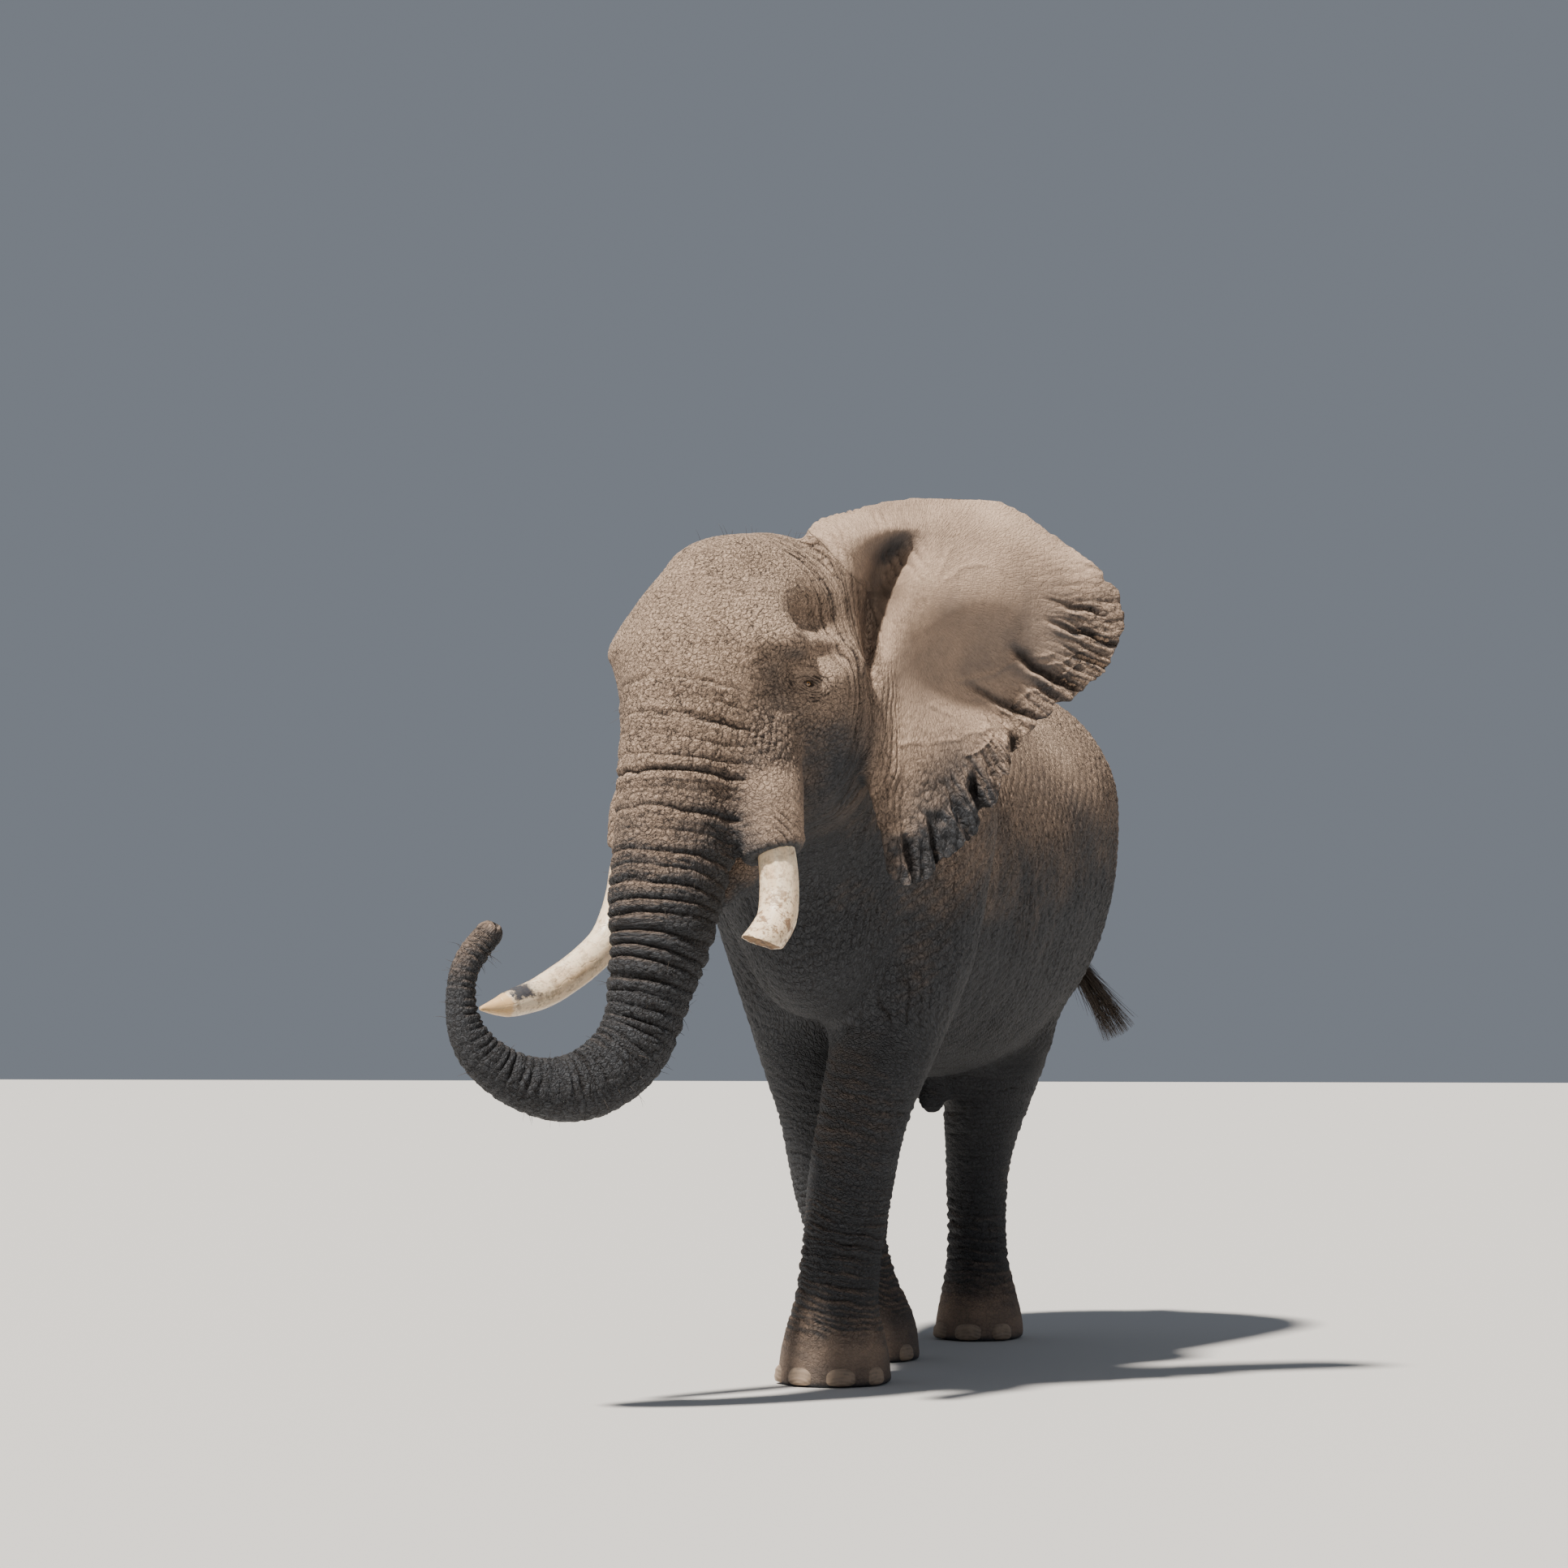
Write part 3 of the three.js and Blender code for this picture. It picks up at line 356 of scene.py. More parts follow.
def head_field(world):
    p = to_head(world)
    side = p.copy()
    side[:, 0] = np.abs(side[:, 0])
    d = ball(p, (0, 90, 120), (395, 400, 415))  # skull
    d = joined(d, ball(p, (0, -190, 70), (350, 262, 400)), 140)  # forehead
    d = joined(d, ball(side, (298, -190, -10), (130, 170, 190)), 120)  # brow
    d = joined(d, ball(side, (335, 20, -120), (130, 250, 230)), 120)  # cheek bone
    d = joined(d, ball(side, (215, 170, -330), (200, 260, 270)), 140)  # jaw angle
    d = joined(d, limb(p, TRUNK_LINE), 90 + 150 * ease(-430, -110, p[:, 2]))
    for finger in FINGERS:
        d = joined(d, limb(p, finger), 16)
    sheath = [(190, -240, -180, 170), (262, -252, -430, 150), (322, -292, -668, 124)]
    d = joined(d, limb(side, sheath) + 24 * ease(40, 160, -p[:, 0]), 80)
    jaw = [(0, 120, -430, 220), (0, 0, -640, 165), (0, -105, -790, 105), (0, -165, -880, 52)]
    d = joined(d, limb(p, jaw), 60)
    d = hollowed(d, ball(side, (420, -70, 150), (95, 150, 150)), 110)  # temple
    d = hollowed(d, ball(side, (432, -205, -45), (62, 90, 78)), 70)  # eye socket
    return joined(d, ball(side, EYE_AT, (31, 31, 31)), 26)  # the bulge of the closed lids


def body_field(p):
    d = torso_field(p)
    legs = np.full(len(p), 1e4, np.float32)
    for line, squash in LEGS:
        legs = joined(legs, limb(p, line, squash), 24)
    d = joined(d, legs, 90)
    d = joined(d, limb(p, TAIL_LINE[:TAIL_FLESH]), 50)
    d = joined(d, limb(p, NECK_LINE, NECK_SQUASH), 180)
    return joined(d, head_field(p), 120)


# ---------- ears ----------
def ear_rim():
    """Reach of the ear's edge from its middle, by bearing."""
    loop = EAR_OUTLINE[-2:] + EAR_OUTLINE + EAR_OUTLINE[:3]
    line = smooth_line([(u, z, 0, 0) for u, z in loop], 12)[24:-36, :2]
    away = line - np.array(EAR_MIDDLE)
    bearing = np.arctan2(away[:, 1], away[:, 0])
    order = np.argsort(bearing)
    at = np.linspace(-np.pi, np.pi, 2881)
    reach = np.interp(at, bearing[order], np.hypot(*away[order].T), period=2 * np.pi)
    return at.astype(np.float32), reach.astype(np.float32)


# Tears in the ear's edge: bearing from its middle, depth and half width.
EAR_TEARS = [
    (0.545, 34, 0.016), (0.35, 20, 0.014), (0.20, 17, 0.014), (0.06, 20, 0.016), (-0.14, 18, 0.016),
    (-0.375, 50, 0.026), (-0.60, 26, 0.024), (-0.83, 34, 0.026), (-1.065, 70, 0.026), (-1.24, 34, 0.02),
    (-1.445, 74, 0.03), (-1.58, 30, 0.022), (-1.70, 44, 0.024),
]


def ragged(at, reach):
    """The edge with its scallops, and the tears of an old bull."""
    flap = ease(-2.05, -1.75, at) * (1 - ease(0.5, 0.6, at))
    spot = points(np.c_[at * 600, np.zeros_like(at), np.zeros_like(at)])
    bites = np.abs(np.sin((at * 600 + 30 * cloud(spot, 90, 5)) / 44 * np.pi)) ** 0.7
    wear = bites * (8 + 6 * cloud(spot, 160, 9)) + 5 * cloud(spot, 22, 3)
    torn = sum(deep * np.exp(-np.abs((at - where) / wide) ** 1.5) for where, deep, wide in EAR_TEARS)
    return reach - 14 + flap * (wear - torn) - (1 - flap) * 2


EDGE_AT, EDGE_SMOOTH = ear_rim()
EDGE_REACH = ragged(EDGE_AT, EDGE_SMOOTH)


def into_ear(world, side):
    """Across, height and offset in an ear's own plane; a positive offset is towards the front."""
    p = to_head(world)
    s, c = math.sin(EAR_SPREAD[side]), math.cos(EAR_SPREAD[side])
    out = side * p[:, 0] - EAR_ROOT[0]
    back = p[:, 1] - EAR_ROOT[1]
    z = p[:, 2] + HEAD_AT[2]
    u = s * out + c * back
    bow = EAR_CUP * ((u - EAR_MIDDLE[0]) / EAR_CUP_AT) ** 2 + EAR_LEAN * (EAR_LEVEL - z)
    offset = c * out - s * back - bow
    sd, cd = math.sin(EAR_DROP[side]), math.cos(EAR_DROP[side])
    across = u * cd - (z - EAR_LEVEL) * sd
    height = EAR_LEVEL + (u * sd + (z - EAR_LEVEL) * cd) / EAR_TALL[side]
    return across, height, offset


def ear_facing(side):
    """The direction out of an ear's front face."""
    s, c = math.sin(EAR_SPREAD[side]), math.cos(EAR_SPREAD[side])
    return turn_out([(side * c, -s, 0)])[0]


def edge_gap(across, height):
    """Distance past the ear's edge, its share of the way out, and its bearing."""
    du, dz = across - EAR_MIDDLE[0], height - EAR_MIDDLE[1]
    away = np.hypot(du, dz)
    bearing = np.arctan2(dz, du)
    reach = np.interp(bearing, EDGE_AT, EDGE_REACH).astype(np.float32)
    return away - reach, away / reach, bearing


def hollow_of_ear(across, height):
    """The funnel at the ear's root, the roll of its top edge and the swell of its upper lobe, as offsets."""
    middle = 0.363 * (height - 2860) - 52
    past = across - middle
    wide = np.where(past > 0, 58, 110)
    funnel = np.exp(-((past / wide) ** 2)) * ease(2500, 2700, height) * (1 - ease(3190, 3330, height))
    du, dz = across - EAR_MIDDLE[0], height - EAR_MIDDLE[1]
    bearing = np.arctan2(dz, du)
    inside = np.interp(bearing, EDGE_AT, EDGE_SMOOTH) - np.hypot(du, dz)
    roll = (1 - ease(0, 230, inside)) * ease(0.35, 0.9, bearing)
    swell = np.exp(-(((across - 340) / 240) ** 2 + ((height - 3080) / 180) ** 2))
    dish = np.exp(-(((across - 380) / 290) ** 2 + ((height - 2700) / 170) ** 2))
    return -175 * funnel - 95 * roll**2 + 96 * swell - 76 * dish


def ear_field(world, side):
    found = np.full(len(world), REACH, np.float32)
    p = to_head(world)
    near = (side * p[:, 0] > 60) & (p[:, 1] > -220) & (p[:, 2] > -920) & (p[:, 1] < 1400)
    if not near.any():
        return found
    across, height, offset = into_ear(world[near], side)
    offset = offset - hollow_of_ear(across, height)
    gap, _, _ = edge_gap(across, height)
    thick = EAR_HALF + 22 * (1 - ease(-60, 260, across))
    found[near] = np.hypot(np.maximum(gap + thick, 0), offset) - thick
    return found


def whole_field(p):
    d = body_field(p)
    for side in (1, -1):
        d = joined(d, ear_field(p, side), 46)
    return np.maximum(d, -p[:, 2])


# ---------- meshing ----------
def in_pieces(field, p, most=400000):
    return np.concatenate([field(p[i : i + most]) for i in range(0, len(p), most)])


def field_grid():
    """The field on a grid: blocks near the surface in full, the rest by one value a block."""
    wide = CELL * BLOCK
    count = np.ceil((HIGHEST - LOWEST) / wide).astype(int)
    cells = np.stack(np.meshgrid(*[np.arange(n) for n in count], indexing="ij"), -1).reshape(-1, 3)
    middle = LOWEST + (cells + 0.5) * wide - CELL / 2
    rough = in_pieces(whole_field, middle.astype(np.float32))
    blocks = rough.reshape(count)
    full = blocks.repeat(BLOCK, 0).repeat(BLOCK, 1).repeat(BLOCK, 2)
    near = cells[np.abs(rough) < wide * 1.5]
    inner = np.stack(np.meshgrid(*[np.arange(BLOCK)] * 3, indexing="ij"), -1).reshape(-1, 3)
    fine = (near[:, None] * BLOCK + inner[None]).reshape(-1, 3)
    values = in_pieces(whole_field, (LOWEST + fine * CELL).astype(np.float32))
    full[fine[:, 0], fine[:, 1], fine[:, 2]] = values
    return full


def first_mesh():
    """Points and triangles of the smooth animal."""
    grid = openvdb.FloatGrid(CELL * 8)
    grid.copyFromArray(field_grid().astype(np.float64))
    corners, quads = grid.convertToQuads(isovalue=0.0)
    p = (LOWEST + np.asarray(corners, np.float32) * CELL).astype(np.float32)
    q = np.asarray(quads, np.int64)
    first = np.linalg.norm(p[q[:, 0]] - p[q[:, 2]], axis=1)
    other = np.linalg.norm(p[q[:, 1]] - p[q[:, 3]], axis=1)
    cut = np.where((first < other)[:, None, None], q[:, [[0, 1, 2], [0, 2, 3]]], q[:, [[0, 1, 3], [1, 2, 3]]])
    return p, cut.reshape(-1, 3)


def settled(p, field, passes=2):
    """Points pulled onto a field's surface."""
    nudge = 3.0
    for _ in range(passes):
        here = in_pieces(field, p)
        slope = np.stack([(in_pieces(field, p + nudge * np.eye(3, dtype=np.float32)[c]) - here) / nudge for c in range(3)], 1)
        steep = np.maximum((slope**2).sum(1), 0.2)
        pull = np.clip(here / steep, -0.4 * CELL, 0.4 * CELL)
        p = p - pull[:, None] * slope
    return p.astype(np.float32)


def edges_of(triangles, count):
    """Unique edges, and for each triangle the three edges 01, 12 and 20."""
    ends = np.sort(triangles[:, [[0, 1], [1, 2], [2, 0]]].reshape(-1, 2), axis=1)
    keys, back = np.unique(ends[:, 0] * count + ends[:, 1], return_inverse=True)
    return np.stack([keys // count, keys % count], 1), back.reshape(-1, 3)


def refined(p, triangles, wanted):
    """Splits each edge whose two ends are wanted, and the triangles on it."""
    edges, own = edges_of(triangles, len(p))
    split = wanted[edges].all(1)
    fresh = np.cumsum(split) - 1 + len(p)
    middles = p[edges[split]].mean(1)
    marks = split[own]
    many = marks.sum(1)
    made = [triangles[many == 0]]
    turn = np.where(many == 1, marks.argmax(1), (marks.argmin(1) + 1) % 3)
    order = (np.arange(3)[None] + turn[:, None]) % 3
    v = np.take_along_axis(triangles, order, 1)
    m = fresh[np.take_along_axis(own, order, 1)]
    one, two, three = many == 1, many == 2, many == 3
    made += [np.c_[v[one, 0], m[one, 0], v[one, 2]], np.c_[m[one, 0], v[one, 1], v[one, 2]]]
    made += [np.c_[m[two, 0], v[two, 1], m[two, 1]], np.c_[v[two, 0], m[two, 0], m[two, 1]]]
    made += [np.c_[v[two, 0], m[two, 1], v[two, 2]]]
    for a, b, c in ((0, 0, 2), (1, 1, 0), (2, 2, 1)):
        made += [np.c_[v[three, a], m[three, b], m[three, c]]]
    made += [np.c_[m[three, 0], m[three, 1], m[three, 2]]]
    return np.vstack([p, middles]).astype(np.float32), np.vstack(made)


class Skin:
    """The animal's surface while it is worked: points, triangles and what is known at each point."""

    def __init__(self, p, triangles):
        self.p, self.triangles = p, triangles

    def refine(self, wanted):
        self.p, self.triangles = refined(self.p, self.triangles, wanted)

    def neighbours(self):
        edges, _ = edges_of(self.triangles, len(self.p))
        self.a, self.b = edges.T
        self.degree = np.bincount(edges.ravel(), minlength=len(self.p)).astype(np.float32)

    def mean_around(self, values):
        """The mean of each point's neighbours' values."""
        flat = values.reshape(len(self.p), -1)
        around = np.empty_like(flat, dtype=np.float32)
        for c in range(flat.shape[1]):
            column = flat[:, c]
            total = np.bincount(self.a, column[self.b], len(self.p)) + np.bincount(self.b, column[self.a], len(self.p))
            around[:, c] = total / np.maximum(self.degree, 1)
        return around.reshape(values.shape)

    def smooth(self, times, share=0.5):
        for _ in range(times):
            self.p = self.p + share * (self.mean_around(self.p) - self.p)

    def normals(self):
        a, b, c = (self.p[self.triangles[:, k]] for k in range(3))
        face = np.cross(b - a, c - a)
        total = np.zeros_like(self.p)
        for k in range(3):
            for axis in range(3):
                total[:, axis] += np.bincount(self.triangles[:, k], face[:, axis], len(self.p))
        return unit(total)


def at_finest(p):
    """The head, the trunk, the flap of each ear and the forelegs, which carry the finest folds."""
    q = to_head(p)
    head = (q[:, 1] < 330) & (q[:, 2] > -1000) & (np.abs(q[:, 0]) < 520)
    trunk = limb(q, TRUNK_LINE) < 60
    legs = (p[:, 2] < 780) & (p[:, 2] > 200) & (p[:, 1] < 300) & (p[:, 1] > -1600)
    flap = np.zeros(len(p), bool)
    for side in (1, -1):
        near = np.abs(in_pieces(lambda w: ear_field(w, side), p)) < 40
        across, height, _ = into_ear(p[near], side)
        _, share, bearing = edge_gap(across, height)
        flap[near] |= (share > 0.5) & (bearing < 0.7) & (bearing > -2.0)
    return head | trunk | flap | legs


def near_openings(p, reach):
    """Round the eyes, the lips of the tusk sheaths and the tip of the trunk."""
    q = to_head(p)
    side = q * np.sign(q[:, :1] + 1e-6) ** np.array([1, 0, 0])
    eyes = np.linalg.norm(side - EYE_AT, axis=1) < 84 * reach
    tip = np.linalg.norm(q - TRUNK_LINE[-1, :3], axis=1) < 130 * reach
    lips = (np.abs(limb(side, TUSK_ROOT + TUSK_BROKEN[:1])) < 55 * reach) & (q[:, 2] < -640)
    return eyes | tip | lips


def made_skin():
    p, triangles = first_mesh()
    skin = Skin(settled(p, whole_field), triangles)
    everywhere = np.ones(len(skin.p), bool)
    for wanted in (everywhere, at_finest, lambda q: near_openings(q, 1.0), lambda q: near_openings(q, 0.55)):
        skin.refine(wanted(skin.p) if callable(wanted) else wanted)
        skin.neighbours()
        skin.smooth(2)
    return skin


# ---------- places on the animal ----------
def along_line(p, line):
    """Nearest place on a line of stations: length along it, distance from it, and the offset in frames carried along it."""
    path, radius = line[:, :3], line[:, 3]
    length = np.concatenate([[0], np.cumsum(np.linalg.norm(np.diff(path, axis=0), axis=1))]).astype(np.float32)
    best = np.full(len(p), 1e9, np.float32)
    seg = np.zeros(len(p), np.int32)
    part = np.zeros(len(p), np.float32)
    for i in range(len(path) - 1):
        run = path[i + 1] - path[i]
        start = p - path[i]
        t = np.clip(start @ run / (run @ run), 0, 1)
        far = np.linalg.norm(start - t[:, None] * run, axis=1)
        nearer = far < best
        best[nearer], seg[nearer], part[nearer] = far[nearer], i, t[nearer]
    tangent = unit(np.gradient(path, axis=0))
    across = [unit(np.cross((0, 1, 0), tangent[0]))]
    for t in tangent[1:]:
        across.append(unit(across[-1] - t * (across[-1] @ t)))
    across = np.array(across, np.float32)
    up = np.cross(tangent, across)
    spread = [values[seg] * (1 - part)[:, None] + values[seg + 1] * part[:, None] for values in (path, across, up)]
    away = p - spread[0]
    s = length[seg] + part * (length[seg + 1] - length[seg])
    r = radius[seg] * (1 - part) + radius[seg + 1] * part
    return s, best, r, (away * spread[1]).sum(1), (away * spread[2]).sum(1)


class Places:
    """Where each point lies on the animal, as the patterns need it."""

    def __init__(self, skin):
        p = skin.p
        self.body = p
        self.head = to_head(p)
        self.trunk = np.zeros(len(p), np.float32)  # how far a point belongs to the trunk
        self.reach = np.zeros(len(p), np.float32)  # length along the trunk
        self.slack = np.zeros(len(p), np.float32)  # towards the inside of the trunk's curl
        self.lie = p.copy()  # place with the trunk hung out straight
        self.find_trunk()
        self.ear = np.zeros(len(p), np.float32)
        self.across = np.zeros(len(p), np.float32)
        self.height = np.zeros(len(p), np.float32)
        self.offset = np.zeros(len(p), np.float32)
        self.side = np.zeros(len(p), np.int8)
        for side in (1, -1):
            self.find_ear(side)
        self.out = ease(-2150, -1650, p[:, 1])  # from the head to the body
        self.leg = 1 - ease(1150, 1500, p[:, 2])
        tail_side = (p[:, 1] > 1500) & (p[:, 2] < 2700)
        self.tail = np.zeros(len(p), np.float32)
        _, far, r, _, _ = along_line(p[tail_side], TAIL_LINE[:TAIL_FLESH])
        self.tail[tail_side] = (1 - ease(8, 60, far - r)) * ease(1640, 1760, p[tail_side, 1])
        self.leg *= (p[:, 1] > -1850) | (self.ear > 0.5)
        mirrored = np.abs(self.head[:, 0]), self.head[:, 1], self.head[:, 2]
        self.near_eye = 1 - ease(44, 84, np.linalg.norm(np.stack(mirrored, 1) - EYE_AT, axis=1))

    def find_trunk(self):
        fat = TRUNK_LINE[:, 3].max() + 150
        low, high = TRUNK_LINE[:, :3].min(0) - fat, TRUNK_LINE[:, :3].max(0) + fat
        near = ((self.head > low) & (self.head < high)).all(1)
        s, far, r, a, b = along_line(self.head[near], TRUNK_LINE)
        weight = 1 - ease(12, 75, far - r)
        self.trunk[near] = weight
        self.reach[near] = s
        bend = ease(900, 1200, s)
        self.slack[near] = bend * (-b / np.maximum(far, 1))
        unbent = from_head(np.stack([a, b + TRUNK_LINE[0, 1], TRUNK_LINE[0, 2] - s], 1))
        hung = (ease(820, 1300, s) * (1 - ease(60, 150, far - r)))[:, None]
        self.lie[near] = self.lie[near] * (1 - hung) + unbent * hung

    def find_ear(self, side):
        near = (side * self.head[:, 0] > 60) & (self.head[:, 1] > -220) & (self.head[:, 1] < 1400)
        index = np.nonzero(near)[0]
        index = index[np.abs(in_pieces(lambda q: ear_field(q, side), self.body[index])) < 40]
        p = self.body[index]
        weight = ease(6, 90, in_pieces(body_field, p))
        across, height, offset = into_ear(p, side)
        mine = weight > self.ear[index]
        index = index[mine]
        for name, values in (("ear", weight), ("across", across), ("height", height), ("offset", offset)):
            getattr(self, name)[index] = values[mine]
        self.side[index] = side


# ---------- folds of the ears ----------
FAN = (60, 3080)  # where the folds of an ear's flap spread from

# Furrows of the flap, from head to mouth: across and height of both ends, depth and half width.
EAR_FURROWS = [
    (620, 3090, 830, 3030, 24, 13), (640, 3000, 900, 2900, 20, 12), (500, 2885, 730, 2740, 40, 20),
    (330, 2750, 620, 2600, 24, 15), (520, 2560, 560, 2390, 48, 24), (350, 2400, 412, 2190, 52, 25),
    (270, 2300, 345, 2075, 26, 15), (170, 2240, 225, 1990, 34, 17), (75, 2180, 120, 1930, 30, 16),
    (790, 3230, 950, 3180, 18, 11), (720, 2860, 940, 2800, 16, 10), (760, 2950, 970, 2890, 14, 9),
    (600, 2740, 760, 2650, 18, 12), (420, 2480, 480, 2290, 22, 13),
]

# Raised veins of the flap: across and height along each.
EAR_VEINS = [
    [(60, 2478), (170, 2490), (360, 2528), (450, 2560)], [(330, 2738), (470, 2770), (580, 2830), (700, 2850)],
    [(520, 2640), (600, 2700), (700, 2740), (830, 2825)], [(215, 2650), (300, 2600), (330, 2530)],
    [(110, 2600), (170, 2540), (190, 2440)], [(470, 2690), (500, 2620), (600, 2640)],
    [(240, 3120), (300, 3165), (420, 3190)], [(225, 3150), (260, 3230), (300, 3260)],
    [(640, 2820), (720, 2800), (800, 2850), (880, 2860)], [(330, 2450), (400, 2480), (450, 2540)],
]


def fan_place(across, height):
    """A place on the flap as turn and distance along its folds."""
    du, dz = across - FAN[0], height - FAN[1]
    turn = np.arctan2(dz, du)
    return turn, np.hypot(du, dz)


def furrows(across, height):
    """How deep the ear's furrows are; each has a raised lip below it."""
    spot = points(np.c_[across, height, np.zeros_like(across)])
    stir = 10 * cloud(spot, 70, 33)
    total = np.zeros(len(across), np.float32)
    for u0, z0, u1, z1, deep, wide in EAR_FURROWS:
        length = math.hypot(u1 - u0, z1 - z0)
        du, dz = (u1 - u0) / length, (z1 - z0) / length
        along = ((across - u0) * du + (height - z0) * dz) / length
        past = (across - u0) * dz - (height - z0) * du + stir
        shape = np.exp(-((past / wide) ** 2)) - 0.5 * np.exp(-(((past - 1.9 * wide) / (1.3 * wide)) ** 2))
        total += deep * shape * ease(0.0, 0.4, along) * (1 - ease(1.1, 1.5, along))
    return total


def ear_ripple(across, height):
    """How far the ear's sheet swings to the front: fans of folds that deepen towards the flap's edge."""
    _, share, bearing = edge_gap(across, height)
    turn, away = fan_place(across, height)
    spot = points(np.c_[turn * 520, away * 0.35, np.zeros_like(turn)])
    flap = ease(-2.35, -1.9, bearing) * (1 - ease(0.3, 0.7, bearing))
    swing = turn * 520 + 62 * cloud(spot, 170, 21) + 22 * cloud(spot, 62, 23)
    broad = (grooved(swing / 104, 0.8) - 0.62) * (0.5 + 0.55 * cloud(spot, 120, 22))
    narrow = (grooved(swing / 37 + 0.4 * cloud(spot, 60, 24), 0.6) - 0.7) * (0.6 + 0.5 * cloud(spot, 90, 25))
    crumple = cloud(spot, (46, 30, 46), 28) + 0.6 * cloud(spot, (24, 15, 24), 29)
    ripple = broad * 34 * ease(0.36, 0.9, share) + narrow * 15 * ease(0.42, 0.8, share)
    low = 1 - ease(2200, 2600, height)
    ripple += crumple * (4 + 8 * low) * ease(0.35, 0.85, share)
    return flap * (ripple - furrows(across, height))


def veins(across, height):
    spot = points(np.c_[across, height, np.zeros_like(across)])
    at = np.c_[across + 12 * cloud(spot, 60, 31), height + 12 * cloud(spot, 60, 32)].astype(np.float32)
    found = np.zeros(len(at), np.float32)
    for path in EAR_VEINS:
        for a, b in zip(np.array(path, float), np.array(path[1:], float)):
            run = b - a
            t = np.clip((at - a) @ run / (run @ run), 0, 1)
            far = np.linalg.norm(at - a - t[:, None] * run, axis=1)
            found = np.maximum(found, np.exp(-((far / 7) ** 2)))
    return found


def fold_ears(skin, places):
    """Swings the ears' sheets into their folds and thins them towards the edge."""
    for side in (1, -1):
        mine = (places.side == side) & (places.ear > 0.002)
        across, height, offset = places.across[mine], places.height[mine], places.offset[mine]
        _, share, _ = edge_gap(across, height)
        middle = hollow_of_ear(across, height)
        thin = 1 - 0.62 * ease(0.1, 0.9, share) * places.ear[mine]
        move = middle + (offset - middle) * thin - offset + ear_ripple(across, height)
        raised = veins(across, height) * np.where(offset > middle, 5.0, 1.5)
        move = (move + raised * np.sign(offset - middle)) * places.ear[mine]
        skin.p[mine] += move[:, None] * ear_facing(side)


# ---------- folds and grain of the hide ----------
# Great grooves round the trunk: length along it and depth. Past the last they follow TRUNK_SPACING.
TRUNK_GROOVES = [
    (-400, 0), (40, 0), (132, 8), (196, 4), (262, 9), (325, 5), (392, 7), (457, 17), (530, 6), (602, 18), (683, 7),
    (764, 19), (824, 11), (884, 15), (942, 12),
]
TRUNK_SPACING = [(0, 60, 15), (1000, 58, 15), (1300, 50, 13), (1700, 42, 10), (2100, 35, 7), (2500, 29, 5), (3400, 24, 3)]


def trunk_grooves():
    """All the great grooves, in order along the trunk."""
    made = list(TRUNK_GROOVES)
    lengths, spaces, depths = np.array(TRUNK_SPACING, float).T
    while made[-1][0] < 3400:
        at = made[-1][0]
        uneven = 1 + 0.22 * math.sin(len(made) * 2.4)
        made.append((at + np.interp(at, lengths, spaces) * uneven, np.interp(at, lengths, depths) * uneven))
    return np.array(made, np.float32)


def stirred_by(p, size, amount, seed):
    """A place moved about by noise."""
    return (p + amount * np.stack([cloud(p, size, seed + k) for k in range(3)], 1)).astype(np.float32)


def cracks(p, size, wide, seed):
    """1 along the edges between scattered cells, falling to 0 within a share of a cell."""
    return np.exp(-((crazed(p, size, seed) / wide) ** 2))


